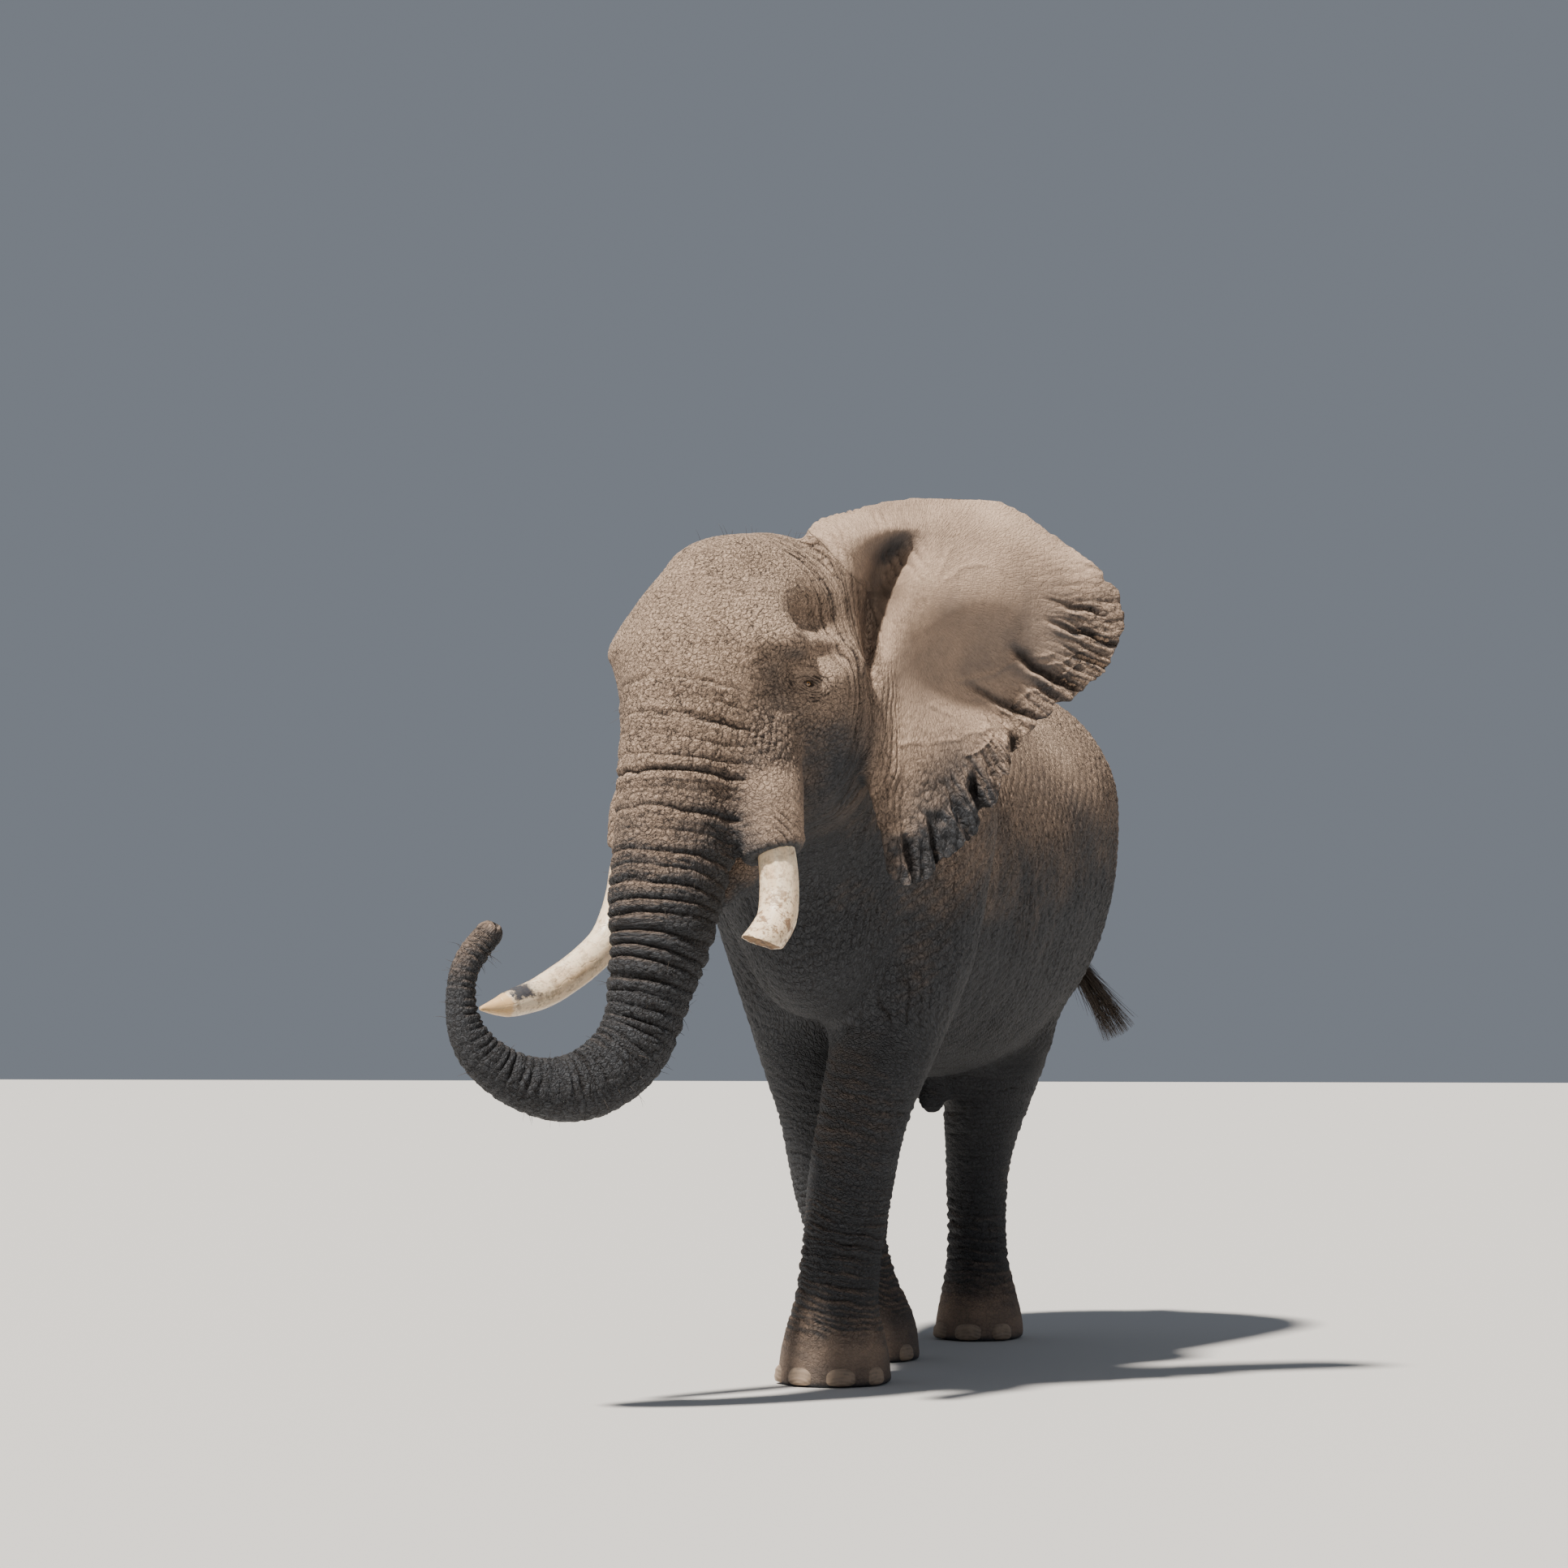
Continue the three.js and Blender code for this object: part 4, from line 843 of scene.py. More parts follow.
def trunk_relief(places, mine):
    """Deep grooves round the trunk, with cobbled hide between them."""
    s, lie = places.reach[mine], places.lie[mine]
    grooves = trunk_grooves()
    slack = np.clip(places.slack[mine], 0, 1)
    shrink = np.interp(s, [0, 900, 1500, 2600], [1, 0.8, 0.55, 0.25]).astype(np.float32)
    wander = (17 * clouds(lie, (170, 170, 90), 2, 41) + 6 * cloud(lie, (52, 52, 30), 43)) * shrink
    at = s + wander
    index = np.clip(np.searchsorted(grooves[:, 0], at), 1, len(grooves) - 1)
    before, after = at - grooves[index - 1, 0], grooves[index, 0] - at
    nearest = np.where(before < after, index - 1, index)
    away = np.minimum(before, after)
    depth = grooves[nearest, 1] * (0.62 + 0.5 * cloud(lie + nearest[:, None] * 97, (190, 190, 400), 44))
    wide = 5 + 0.42 * depth
    smooth_back = 1 - 0.62 * ease(1150, 1600, s) * (1 - ease(0.1, 0.6, slack))
    groove = -np.maximum(depth, 0) * (1 + 0.6 * slack) * np.exp(-((away / wide) ** 1.3)) * smooth_back
    swell = 0.4 * depth * np.sin(np.pi * before / np.maximum(before + after, 1)) * smooth_back
    lesser = grooved(at / np.interp(s, [0, 900, 2600], [21, 19, 11]).astype(np.float32) + 0.5 * cloud(lie, 70, 45), 0.5) - 1
    tall = np.interp(s, [0, 700, 1000, 2600], [1.15, 1.35, 1.7, 1.9]).astype(np.float32)
    spot = stirred_by(lie, 60, 13, 46) * np.stack([np.ones_like(tall), np.ones_like(tall), tall], 1)
    size = 44
    crack = cracks(spot, size, 0.10, 49)
    finer = cracks(stirred_by(lie, 30, 6, 146), (21, 21, 17), 0.13, 149)
    fade = ease(76, 134, at)
    low = ease(600, 1000, s)
    arc = np.arctan2(lie[:, 0], lie[:, 1]) * np.interp(s, [0, 900, 2600], [230, 180, 60]).astype(np.float32)
    lengthwise = grooved((arc + 20 * cloud(lie, (120, 120, 60), 147)) / 29, 0.6) - 1
    lengthwise = lengthwise * np.clip(0.45 + 0.8 * cloud(lie, (150, 150, 90), 148), 0, 1.1)
    relief = fade * (groove + swell + lesser * (1.7 + 0.8 * low) - (3.0 + 2.0 * low) * crack * shrink)
    relief += fade * 3.0 * lengthwise * (1 - ease(900, 1500, s))
    relief -= (0.4 + 0.6 * fade) * 1.5 * finer * (1 - ease(1200, 1900, s))
    deepest = np.exp(-((away / (0.55 * wide)) ** 2)) * np.clip(depth / 9, 0, 1) * smooth_back
    # The line marks the deep grooves, cracks and lengthwise creases, which the hide's colour darkens as painted shade.
    line = fade * np.maximum(deepest, 0.5 * crack)
    line = np.maximum(line, 0.5 * fade * in_groove(lengthwise, 1.6) * (1 - ease(900, 1500, s)))
    return relief, np.maximum(line, 0.3 * finer)


def in_groove(depth, narrow):
    """1 at the bottom of grooves given as depths from 0 to -1."""
    return np.maximum(1 - narrow * (depth + 1), 0)


def toward(p, at, size):
    """1 at a place, fading smoothly over a size."""
    return np.exp(-(((p - np.array(at, np.float32)) / np.array(size, np.float32)) ** 2).sum(1))


def along_path(p, path):
    """Distance to a line through some points."""
    best = np.full(len(p), 1e6, np.float32)
    for a, b in zip(np.array(path, np.float32), np.array(path[1:], np.float32)):
        run = b - a
        t = np.clip((p - a) @ run / (run @ run), 0, 1)
        best = np.minimum(best, np.linalg.norm(p - a - t[:, None] * run, axis=1))
    return best


CHEEK_RIDGE = [(352, -70, 66), (385, 60, 74), (436, 130, -10)]
TRUNK_VALLEY = [(262, -430, -290), (232, -478, -560), (206, -430, -860)]
MOUTH_LINE = [(96, -240, -800), (170, -120, -660), (236, 20, -520), (262, 130, -430)]
UNDER_EYE = [(360, -300, -210), (392, -190, -196), (404, -80, -230), (396, 20, -300)]


def face_relief(places, mine):
    """Pebbled forehead, hollow temple, long creases down to the throat, and the crumpled cheek."""
    p = places.head[mine]
    side = p.copy()
    side[:, 0] = np.abs(side[:, 0])
    shape = -34 * toward(side, (225, -240, 335), (110, 120, 70)) - 30 * toward(side, (345, -30, 165), (80, 105, 50))
    shape += 26 * np.exp(-((along_path(side, CHEEK_RIDGE) / 36) ** 2))
    shape += 44 * toward(side, (350, -215, 40), (100, 130, 62)) * ease(-22, 34, side[:, 2])
    shape += 16 * toward(side, (400, -90, -225), (90, 110, 50)) - 36 * toward(side, (336, -310, -125), (85, 78, 110))
    shape -= 13 * np.exp(-((along_path(side, UNDER_EYE) / 17) ** 2)) + 17 * np.exp(-((along_path(side, TRUNK_VALLEY) / 24) ** 2))
    mouth = np.exp(-((along_path(side, MOUTH_LINE) / 13) ** 2))
    swirl = 20 * clouds(p, (170, 170, 260), 2, 51)
    round_eye = np.hypot((side[:, 1] + 330) * 0.95, (side[:, 2] + 90) * 0.6)
    creased = ease(215, 300, round_eye) * ease(-70, 60, side[:, 1] + 0.18 * side[:, 2]) * ease(-760, -600, side[:, 2])
    long_lines = grooved((round_eye + swirl + 5 * cloud(p, (40, 40, 90), 69)) / 34, 0.5) - 1
    deep_lines = grooved((round_eye + swirl * 1.4) / 83, 0.3) - 1
    uneven = 0.75 + 0.5 * cloud(p, (90, 90, 240), 52)
    front = ease(-40, 80, -side[:, 1] - 60) * ease(-230, -130, side[:, 2])
    pebble = cracks(stirred_by(p, 34, 8, 54), 21, 0.16, 57)
    speck = ease(0.2, 0.7, 0.5 * cloud(p, 40, 65) + 0.8 * cloud(p, 13, 66))
    crumpled = toward(side, (330, -345, -330), (110, 130, 130)) + 0.5 * toward(side, (400, -150, -250), (120, 130, 110))
    crumpled += 0.7 * toward(side, (350, -280, -120), (80, 80, 90))
    crumpled = np.minimum(crumpled + 0.7 * np.exp(-((along_path(side, TRUNK_VALLEY) / 66) ** 2)), 1)
    scale = cracks(stirred_by(p * (1.35, 1.35, 0.8), 64, 17, 58), 30, 0.13, 61)
    beside_trunk = grooved((along_path(side, TRUNK_VALLEY) + 14 * clouds(p, 90, 2, 70)) / 27, 0.5) - 1
    small = cracks(stirred_by(p, 36, 9, 158), 20, 0.14, 161)
    slant = grooved((side[:, 2] * 0.75 - side[:, 1] * 0.6 + swirl) / 33, 0.5) - 1
    sheath = (1 - ease(-520, -400, side[:, 2])) * ease(220, 300, side[:, 0])
    shape += 20 * toward(side, (300, -330, 60), (110, 120, 110)) + sheath * 9 * clouds(p, 120, 2, 67)
    shape += 16 * toward(side, (385, -330, -560), (80, 100, 90)) - 12 * toward(side, (390, -300, -410), (80, 100, 50))
    behind = 1 - front
    relief = shape - 15 * mouth + creased * uneven * (10 * long_lines + 16 * deep_lines)
    relief -= front * (1.8 * pebble + 1.9 * speck)
    socket = toward(side, (352, -280, -120), (84, 95, 110))
    from_eye = np.linalg.norm(side - EYE_AT - np.array((10, 30, -10), np.float32), axis=1)
    bags = grooved((from_eye + 16 * clouds(p, 70, 3, 71)) / 22, 0.5) - 1
    relief += socket * 6 * bags
    streaks = grooved((side[:, 2] * 0.62 + side[:, 1] * 0.8 + swirl * 0.8) / 27, 0.6) - 1
    streaks = sheath * streaks * np.clip(0.5 + 0.8 * cloud(p, 90, 68), 0, 1.1)
    relief += 6.5 * streaks
    relief -= behind * (1 - 0.75 * creased) * (1 - 0.7 * sheath) * (1.0 + 3.4 * crumpled) * scale
    relief += behind * (1 - creased) * (1 - 0.8 * sheath) * crumpled * 7 * beside_trunk
    relief -= behind * (1 - 0.75 * sheath) * (0.9 + 1.2 * crumpled) * small
    relief += behind * (1 - creased) * (1.0 + 2.4 * crumpled) * slant + 3 * clouds(p, 120, 2, 62)
    # The line marks the long creases, the folds beside the trunk and round the eyes, the sheath's streaks, the mouth's
    # crease and the forehead's pebbling, all darkened as painted shade.
    line = creased * np.maximum(uneven * in_groove(long_lines, 1.0), in_groove(deep_lines, 1.0))
    line = np.maximum(line, behind * (1 - creased) * (0.1 + 0.5 * crumpled) * (1 - 0.8 * sheath) * scale)
    line = np.maximum(line, behind * (1 - creased) * crumpled * (1 - 0.8 * sheath) * in_groove(beside_trunk, 1.4))
    line = np.maximum(line, 0.85 * in_groove(streaks, 1.3) * sheath)
    line = np.maximum(line, socket * in_groove(bags, 1.1))
    return relief, np.maximum(np.maximum(line, mouth), front * (0.32 * pebble + 0.2 * speck))


def body_relief(places, mine):
    """Slack folds of flank, rump and throat, and stacked folds round the legs."""
    p = places.body[mine]
    leg = places.leg[mine]
    warp = np.stack([clouds(p, 260, 2, 71 + k) for k in range(3)], 1)
    rump = ease(450, 900, p[:, 1]) * (1 - leg)
    flank = grooved((p[:, 1] + 0.22 * p[:, 2] + 55 * warp[:, 0]) / 88, 0.5) - 1
    upright = grooved((p[:, 1] + 0.16 * p[:, 2] + 34 * warp[:, 1]) / 34, 0.6) - 1
    steep = grooved((p[:, 1] * 0.8 - p[:, 2] * 0.7 + 40 * warp[:, 1]) / 47, 0.5) - 1
    upright = upright * np.clip(0.5 + 0.8 * cloud(p, (190, 190, 260), 74), 0.1, 1.1)
    cross = grooved((p[:, 1] * 0.7 + p[:, 2] * 0.75 + 40 * warp[:, 2]) / 52, 0.5) - 1
    torso = flank * 9 * (0.55 + 0.5 * warp[:, 2]) + upright * 7 + steep * (4 + 6 * rump) + cross * (2 + 6 * rump)
    torso *= 1 - leg
    fore = 1 - ease(-560, -200, p[:, 1] + 0.3 * (1250 - p[:, 2]) * (p[:, 0] < 0))
    level = p[:, 2] + 24 * warp[:, 0] + 9 * cloud(p, 80, 75) + 0.22 * p[:, 0] * fore
    knee = np.exp(-(((p[:, 2] - 520) / 190) ** 2)) + 0.55 * np.exp(-(((p[:, 2] - 1010) / 110) ** 2))
    stack = grooved(level / 52, 0.5) - 1
    fine_stack = grooved(level / 24 + 0.5 * cloud(p, 90, 78), 0.7) - 1
    patchy = np.clip(0.55 + 0.7 * cloud(p, (170, 170, 90), 76), 0, 1.2)
    legs = leg * (stack * (5 + 17 * knee) * patchy + fine_stack * (3.5 + 4 * knee))
    foot = 1 - ease(90, 260, p[:, 2])
    slant = grooved((p[:, 2] + 0.8 * p[:, 0] + 40 * warp[:, 2]) / 48, 0.5) - 1
    spot = stirred_by(p * np.where(leg[:, None] > 0.5, (1.0, 1.0, 1.4), (1.3, 1.3, 1.0)).astype(np.float32), 90, 14, 79)
    cell = cracks(spot, 42, 0.13, 77)
    cells = cell * (1.0 + 1.4 * rump) * (1 - 0.8 * foot * leg)
    relief = torso + legs * (1 - 0.8 * foot) + leg * (1 - foot) * slant * 4 - cells + 5 * warp[:, 1]
    # The line marks the cell edges, the grooves of flank and rump and the stacked leg folds, which the hide's colour
    # darkens as painted shade.
    stacked = np.maximum(in_groove(stack, 1.2) * patchy, 0.6 * in_groove(fine_stack, 1.5))
    line = np.maximum(cell * (0.15 + 0.3 * rump), leg * np.minimum(0.4 + knee, 1) * stacked)
    nets = np.maximum(0.8 * in_groove(upright, 1.5), (0.3 + 0.6 * rump) * np.maximum(in_groove(steep, 1.7), in_groove(cross, 1.9)))
    line = np.maximum(line, (1 - leg) * nets)
    return relief, line * (1 - 0.7 * foot * leg)


def ear_relief(places, mine):
    """Radial creases and crinkles of the ears' skin."""
    p = np.stack([places.across[mine], places.height[mine], places.offset[mine]], 1)
    _, share, bearing = edge_gap(p[:, 0], p[:, 1])
    turn, away = fan_place(p[:, 0], p[:, 1])
    flap = (1 - ease(0.35, 0.7, bearing)) * ease(0.45, 0.8, share)
    low = 1 - ease(2250, 2650, p[:, 1])
    rough = np.maximum(flap, low)
    spot = np.stack([turn * 560, away * 0.42, np.zeros_like(turn)], 1).astype(np.float32)
    crack = cracks(stirred_by(spot, 60, 9, 81), 21, 0.15, 84)
    strata = grooved((turn * 620 + 26 * cloud(spot, 90, 86) + 9 * cloud(spot, 32, 87)) / 25, 0.55) - 1
    strata = strata * np.clip(0.5 + 0.9 * cloud(spot, (90, 90, 90), 88), 0, 1.2) * ease(0.3, 0.7, share)
    root = (1 - ease(90, 300, p[:, 0])) * ease(2860, 2980, p[:, 1])
    beside = grooved((p[:, 0] + 0.22 * p[:, 1] + 46 * clouds(p, 190, 3, 89)) / 38, 0.5) - 1
    beside = beside * np.clip(0.35 + 1.1 * cloud(p, (80, 170, 80), 90), 0, 1)
    deepest = np.clip(furrows(p[:, 0], p[:, 1]) / 30, 0, 1) * ease(-2.35, -1.9, bearing)
    relief = -crack * (0.4 + 1.8 * rough) + 4 * clouds(p, (120, 120, 400), 3, 85)
    relief += strata * (2.5 + 7.5 * rough) + root * 11 * beside
    # The line marks the ear's cracks, furrows and creases, which the hide's colour darkens as painted shade.
    line = np.maximum(crack * (0.05 + 0.3 * rough), 0.85 * deepest)
    line = np.maximum(line, (0.3 + 0.6 * rough) * in_groove(strata, 1.3) * ease(0.3, 0.6, share))
    return relief, np.maximum(line, 0.7 * root * in_groove(beside, 1.6))


def tail_relief(places, mine):
    p = places.body[mine]
    rings = grooved((p[:, 2] + 8 * cloud(p, 60, 91)) / 24, 0.6) - 1
    # The second value marks the ring grooves, which the hide's colour darkens as painted shade.
    return rings * 2.5, np.maximum(-rings - 0.4, 0)


def sheath_lips(places):
    """The rolled lip of each tusk's sheath, with a deep crease where the tusk leaves it."""
    side = places.head.copy()
    side[:, 0] = np.abs(side[:, 0])
    from_tusk = limb(side, TUSK_ROOT + TUSK_BROKEN[:2])
    low = (1 - ease(-730, -640, side[:, 2])) * (places.trunk < 0.9)
    pleats = cloud(side, (16, 16, 60), 92)
    lip = 15 * np.exp(-(((from_tusk - 36) / 17) ** 2)) * (1 + 0.25 * pleats)
    return low * (lip - 30 * np.exp(-((from_tusk / 14) ** 2)))


def give_relief(skin, places):
    """Moves the skin along its normals into folds, and returns how strongly each point is creased, which the hide
    darkens as painted shade.
    """
    normal = skin.normals()
    amount = sheath_lips(places)
    line = np.zeros(len(skin.p), np.float32)
    lidded = 1 - places.near_eye
    trunk, ear = places.trunk * ease(66, 140, places.reach), places.ear
    face = (1 - places.out) * (1 - ear) * (1 - trunk) * lidded
    body = places.out * (1 - ear) * (1 - places.tail)
    kinds = ((trunk, trunk_relief), (face, face_relief), (body, body_relief), (ear, ear_relief), (places.tail, tail_relief))
    for weight, relief in kinds:
        mine = weight > 0.004
        moved, creased = relief(places, mine)
        amount[mine] += weight[mine] * moved
        line[mine] += weight[mine] * creased
    amount *= ease(4, 60, skin.p[:, 2])
    skin.p = (skin.p + amount[:, None] * normal).astype(np.float32)
    skin.p[:, 2] = np.maximum(skin.p[:, 2], 0)
    return np.clip(line, 0, 1)


# ---------- lids and nostrils ----------
LID_LONG, LID_TALL, LID_TILT = 23.0, 11.0, 0.12
LID_WRINKLES = (7, 14, 22.5, 32, 43, 56)  # distances from the opening


def eye_axes(side):
    """Out of the eye, forward along the lids, and up, in the head's frame."""
    out = unit(np.array([side * 0.93, -0.36, -0.06]))
    up = unit(np.array([0, 0, 1.0]) - out * out[2])
    return out, np.cross(up, out) * side, up


def open_lids(skin, places, line):
    """Parts the lids over each eye and lays wrinkles round them."""
    for side in (1, -1):
        centre = EYE_AT * (side, 1, 1)
        q = to_head(skin.p) - centre
        mine = np.nonzero(np.linalg.norm(q, axis=1) < 100)[0]
        q = q[mine]
        out, ahead, up = eye_axes(side)
        a, b, c = q @ ahead, q @ up, q @ out
        lifted = b + LID_TILT * a
        span = np.maximum(1 - (a / LID_LONG) ** 2, -2.5)
        gap = np.abs(lifted) - LID_TALL * np.where(lifted > 0, 0.9, 1.1) * span
        gap = np.where(c > 0, gap, 90)
        around = np.hypot(a * 0.6, lifted) - LID_TALL * 0.8
        turning = ease(2, 18, around)
        stray = (gap * (1 - turning) + around * turning) * (1 + 0.16 * cloud(q.astype(np.float32), 60, 133)) + 4 * cloud(q.astype(np.float32), 24, 131)
        wrinkles = sum(np.exp(-(((stray - at) / (1.6 + 0.05 * at)) ** 2)) * (1.4 + 0.03 * at) for at in LID_WRINKLES)
        wrinkles *= 0.5 + 0.7 * ease(-0.35, 0.5, cloud(q.astype(np.float32), (34, 34, 22), 134))
        wrinkles *= ease(0, 5, gap) * (1 - ease(60, 84, gap)) * (0.8 + 0.4 * cloud(q.astype(np.float32), 30, 132))
        rim = 2.2 * np.exp(-(((gap - 3.2) / 2.4) ** 2))
        far = np.maximum(np.linalg.norm(q, axis=1), 1)
        sunk = 1 - ease(-1.2, 1.8, gap)
        reach = (far + (rim - wrinkles) * (c > 0)) * (1 - sunk) + (EYE_RADIUS - 5) * sunk
        moved = q * (reach / far)[:, None] - q
        skin.p[mine] += turn_out(moved).astype(np.float32)
        # Painted shade in the lid wrinkles and in the slit between the lids.
        line[mine] = np.maximum(line[mine], np.clip(wrinkles * 0.42, 0, 0.9))
        line[mine] = np.maximum(line[mine], 1 - ease(0.0, 3.0, gap))


def open_nostrils(skin):
    """Sinks the two nostrils into the end of the trunk."""
    tip, ahead = TRUNK_LINE[-1, :3], unit(TRUNK_LINE[-1, :3] - TRUNK_LINE[-3, :3])
    apart = unit(np.cross(ahead, (0, 0, 1.0)))
    apart = unit(np.cross(ahead, np.cross(apart, ahead)))
    q = to_head(skin.p) - tip
    mine = np.nonzero((np.linalg.norm(q, axis=1) < 90) & (q @ ahead > 8))[0]
    for hand in (1, -1):
        away = np.linalg.norm(q[mine] - (q[mine] @ ahead)[:, None] * ahead - apart * hand * 20, axis=1)
        sink = (1 - ease(9, 16, away)) * 62
        skin.p[mine] -= (sink[:, None] * turn_out([ahead])).astype(np.float32)


# ---------- meshes ----------
def mesh_of(name, p, faces, sides=3):
    """A Blender mesh from points in the body's frame, in millimetres."""
    mesh = bpy.data.meshes.new(name)
    faces = np.asarray(faces, np.int32)
    mesh.vertices.add(len(p))
    mesh.vertices.foreach_set("co", ((p + CENTRE) * 0.001).astype(np.float32).ravel())
    mesh.loops.add(faces.size)
    mesh.loops.foreach_set("vertex_index", faces.ravel())
    mesh.polygons.add(len(faces))
    mesh.polygons.foreach_set("loop_start", np.arange(0, faces.size, sides, dtype=np.int32))
    mesh.update(calc_edges=True)
    mesh.validate()
    mesh.shade_smooth()
    return mesh


def piece_of(name, mesh, material, slot, *nodes):
    piece = bpy.data.objects.new(name, mesh)
    bpy.context.scene.collection.objects.link(piece)
    mesh.materials.append(material)
    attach(piece, "root")
    if nodes:
        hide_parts(*nodes)
    return piece


def mark(mesh, name, values, kind="FLOAT"):
    held = mesh.attributes.new(name, kind, "POINT")
    held.data.foreach_set("vector" if kind == "FLOAT_VECTOR" else "value", np.ascontiguousarray(values, np.float32).ravel())


# ---------- shader maths ----------
class Wire:
    """A shader socket that takes part in sums."""

    def __init__(self, finish, socket):
        self.finish, self.socket = finish, socket

    def maths(self, operation, *others):
        inputs = dict(enumerate((self, *others)))
        return self.finish.node("ShaderNodeMath", {"operation": operation}, inputs)

    def __add__(self, other):
        return self.maths("ADD", other)

    def __sub__(self, other):
        return self.maths("SUBTRACT", other)

    def __rsub__(self, other):
        return self.finish.node("ShaderNodeMath", {"operation": "SUBTRACT"}, {0: other, 1: self})

    def __mul__(self, other):
        return self.maths("MULTIPLY", other)

    def __truediv__(self, other):
        return self.maths("DIVIDE", other)

    def __pow__(self, other):
        return self.maths("POWER", other)

    __radd__, __rmul__ = __add__, __mul__

    def least(self, other):
        return self.maths("MINIMUM", other)

    def most(self, other):
        return self.maths("MAXIMUM", other)

    def rise(self, low, high):
        """0 below low and 1 above high, smoothly between them."""
        settings = {"interpolation_type": "SMOOTHSTEP"}
        return self.finish.node("ShaderNodeMapRange", settings, {0: self, 1: low, 2: high, 3: 0.0, 4: 1.0})


class Finish:
    """A material while it is being made."""

    def __init__(self, name):
        self.material = bpy.data.materials.new(name)
        self.material.use_nodes = True
        self.tree = self.material.node_tree
        self.tree.nodes.clear()

    def node(self, kind, settings=None, inputs=None, output=0):
        made = self.tree.nodes.new(kind)
        for key, value in (settings or {}).items():
            if key == "stops":
                set_stops(made.color_ramp, value)
            else:
                setattr(made, key, value)
        for key, value in (inputs or {}).items():
            if isinstance(value, Wire):
                self.tree.links.new(value.socket, made.inputs[key])
            else:
                made.inputs[key].default_value = value
        return Wire(self, made.outputs[output])

    def held(self, name, vector=False):
        """A value that the mesh carries."""
        return self.node("ShaderNodeAttribute", {"attribute_name": name}, {}, 1 if vector else 2)

    def blend(self, share, first, second, way="MIX"):
        """One colour into another."""
        settings = {"data_type": "RGBA", "blend_type": way}
        return self.node("ShaderNodeMix", settings, {0: share, 6: first, 7: second}, 2)

    def noise(self, place, size, detail=3.0, rough=0.55, output=0):
        inputs = {"Vector": place, "Scale": 1 / size, "Detail": detail, "Roughness": rough}
        return self.node("ShaderNodeTexNoise", {}, inputs, output)

    def cells(self, place, size, feature="DISTANCE_TO_EDGE"):
        return self.node("ShaderNodeTexVoronoi", {"feature": feature}, {"Vector": place, "Scale": 1 / size})

    def vector(self, operation, *inputs):
        return self.node("ShaderNodeVectorMath", {"operation": operation}, dict(enumerate(inputs)))

    def stretched(self, place, by):
        return self.vector("MULTIPLY", place, by)

    def stirred(self, place, size, amount):
        """A place moved about by noise, so that lines through it wander."""
        stir = self.noise(place, size, 1.0, 0.5, 1)
        moved = self.vector("SUBTRACT", stir, (0.5, 0.5, 0.5))
        return self.vector("ADD", place, self.vector("MULTIPLY", moved, (amount, amount, amount)))

    def bump(self, height, depth, under=None):
        inputs = {"Height": height, "Distance": depth, "Strength": 1.0}
        if under is not None:
            inputs["Normal"] = under
        return self.node("ShaderNodeBump", {}, inputs)

    def surface(self, **inputs):
        shader = self.node("ShaderNodeBsdfPrincipled", {}, {k.replace("_", " "): v for k, v in inputs.items()})
        self.node_out(shader)
        return self.material

    def node_out(self, shader):
        out = self.tree.nodes.new("ShaderNodeOutputMaterial")
        self.tree.links.new(shader.socket, out.inputs["Surface"])


def set_stops(ramp, stops):
    while len(ramp.elements) > 1:
        ramp.elements.remove(ramp.elements[-1])
    for i, (at, colour) in enumerate(stops):
        element = ramp.elements[0] if i == 0 else ramp.elements.new(at)
        element.position = at
        element.color = colour


# Dark hide, which also serves as painted shade where the dust mask is low.
DARK_HIDE_AND_SHADE = (0.044, 0.048, 0.055, 1)
# Near black and dusty brown, painted into the creases as shade.
BLACK_CREASE_SHADE = (0.012, 0.010, 0.010, 1)
DUSTY_CREASE_SHADE = (0.055, 0.039, 0.030, 1)
DUST = (0.38, 0.268, 0.194, 1)
PALE_DUST = (0.58, 0.42, 0.305, 1)


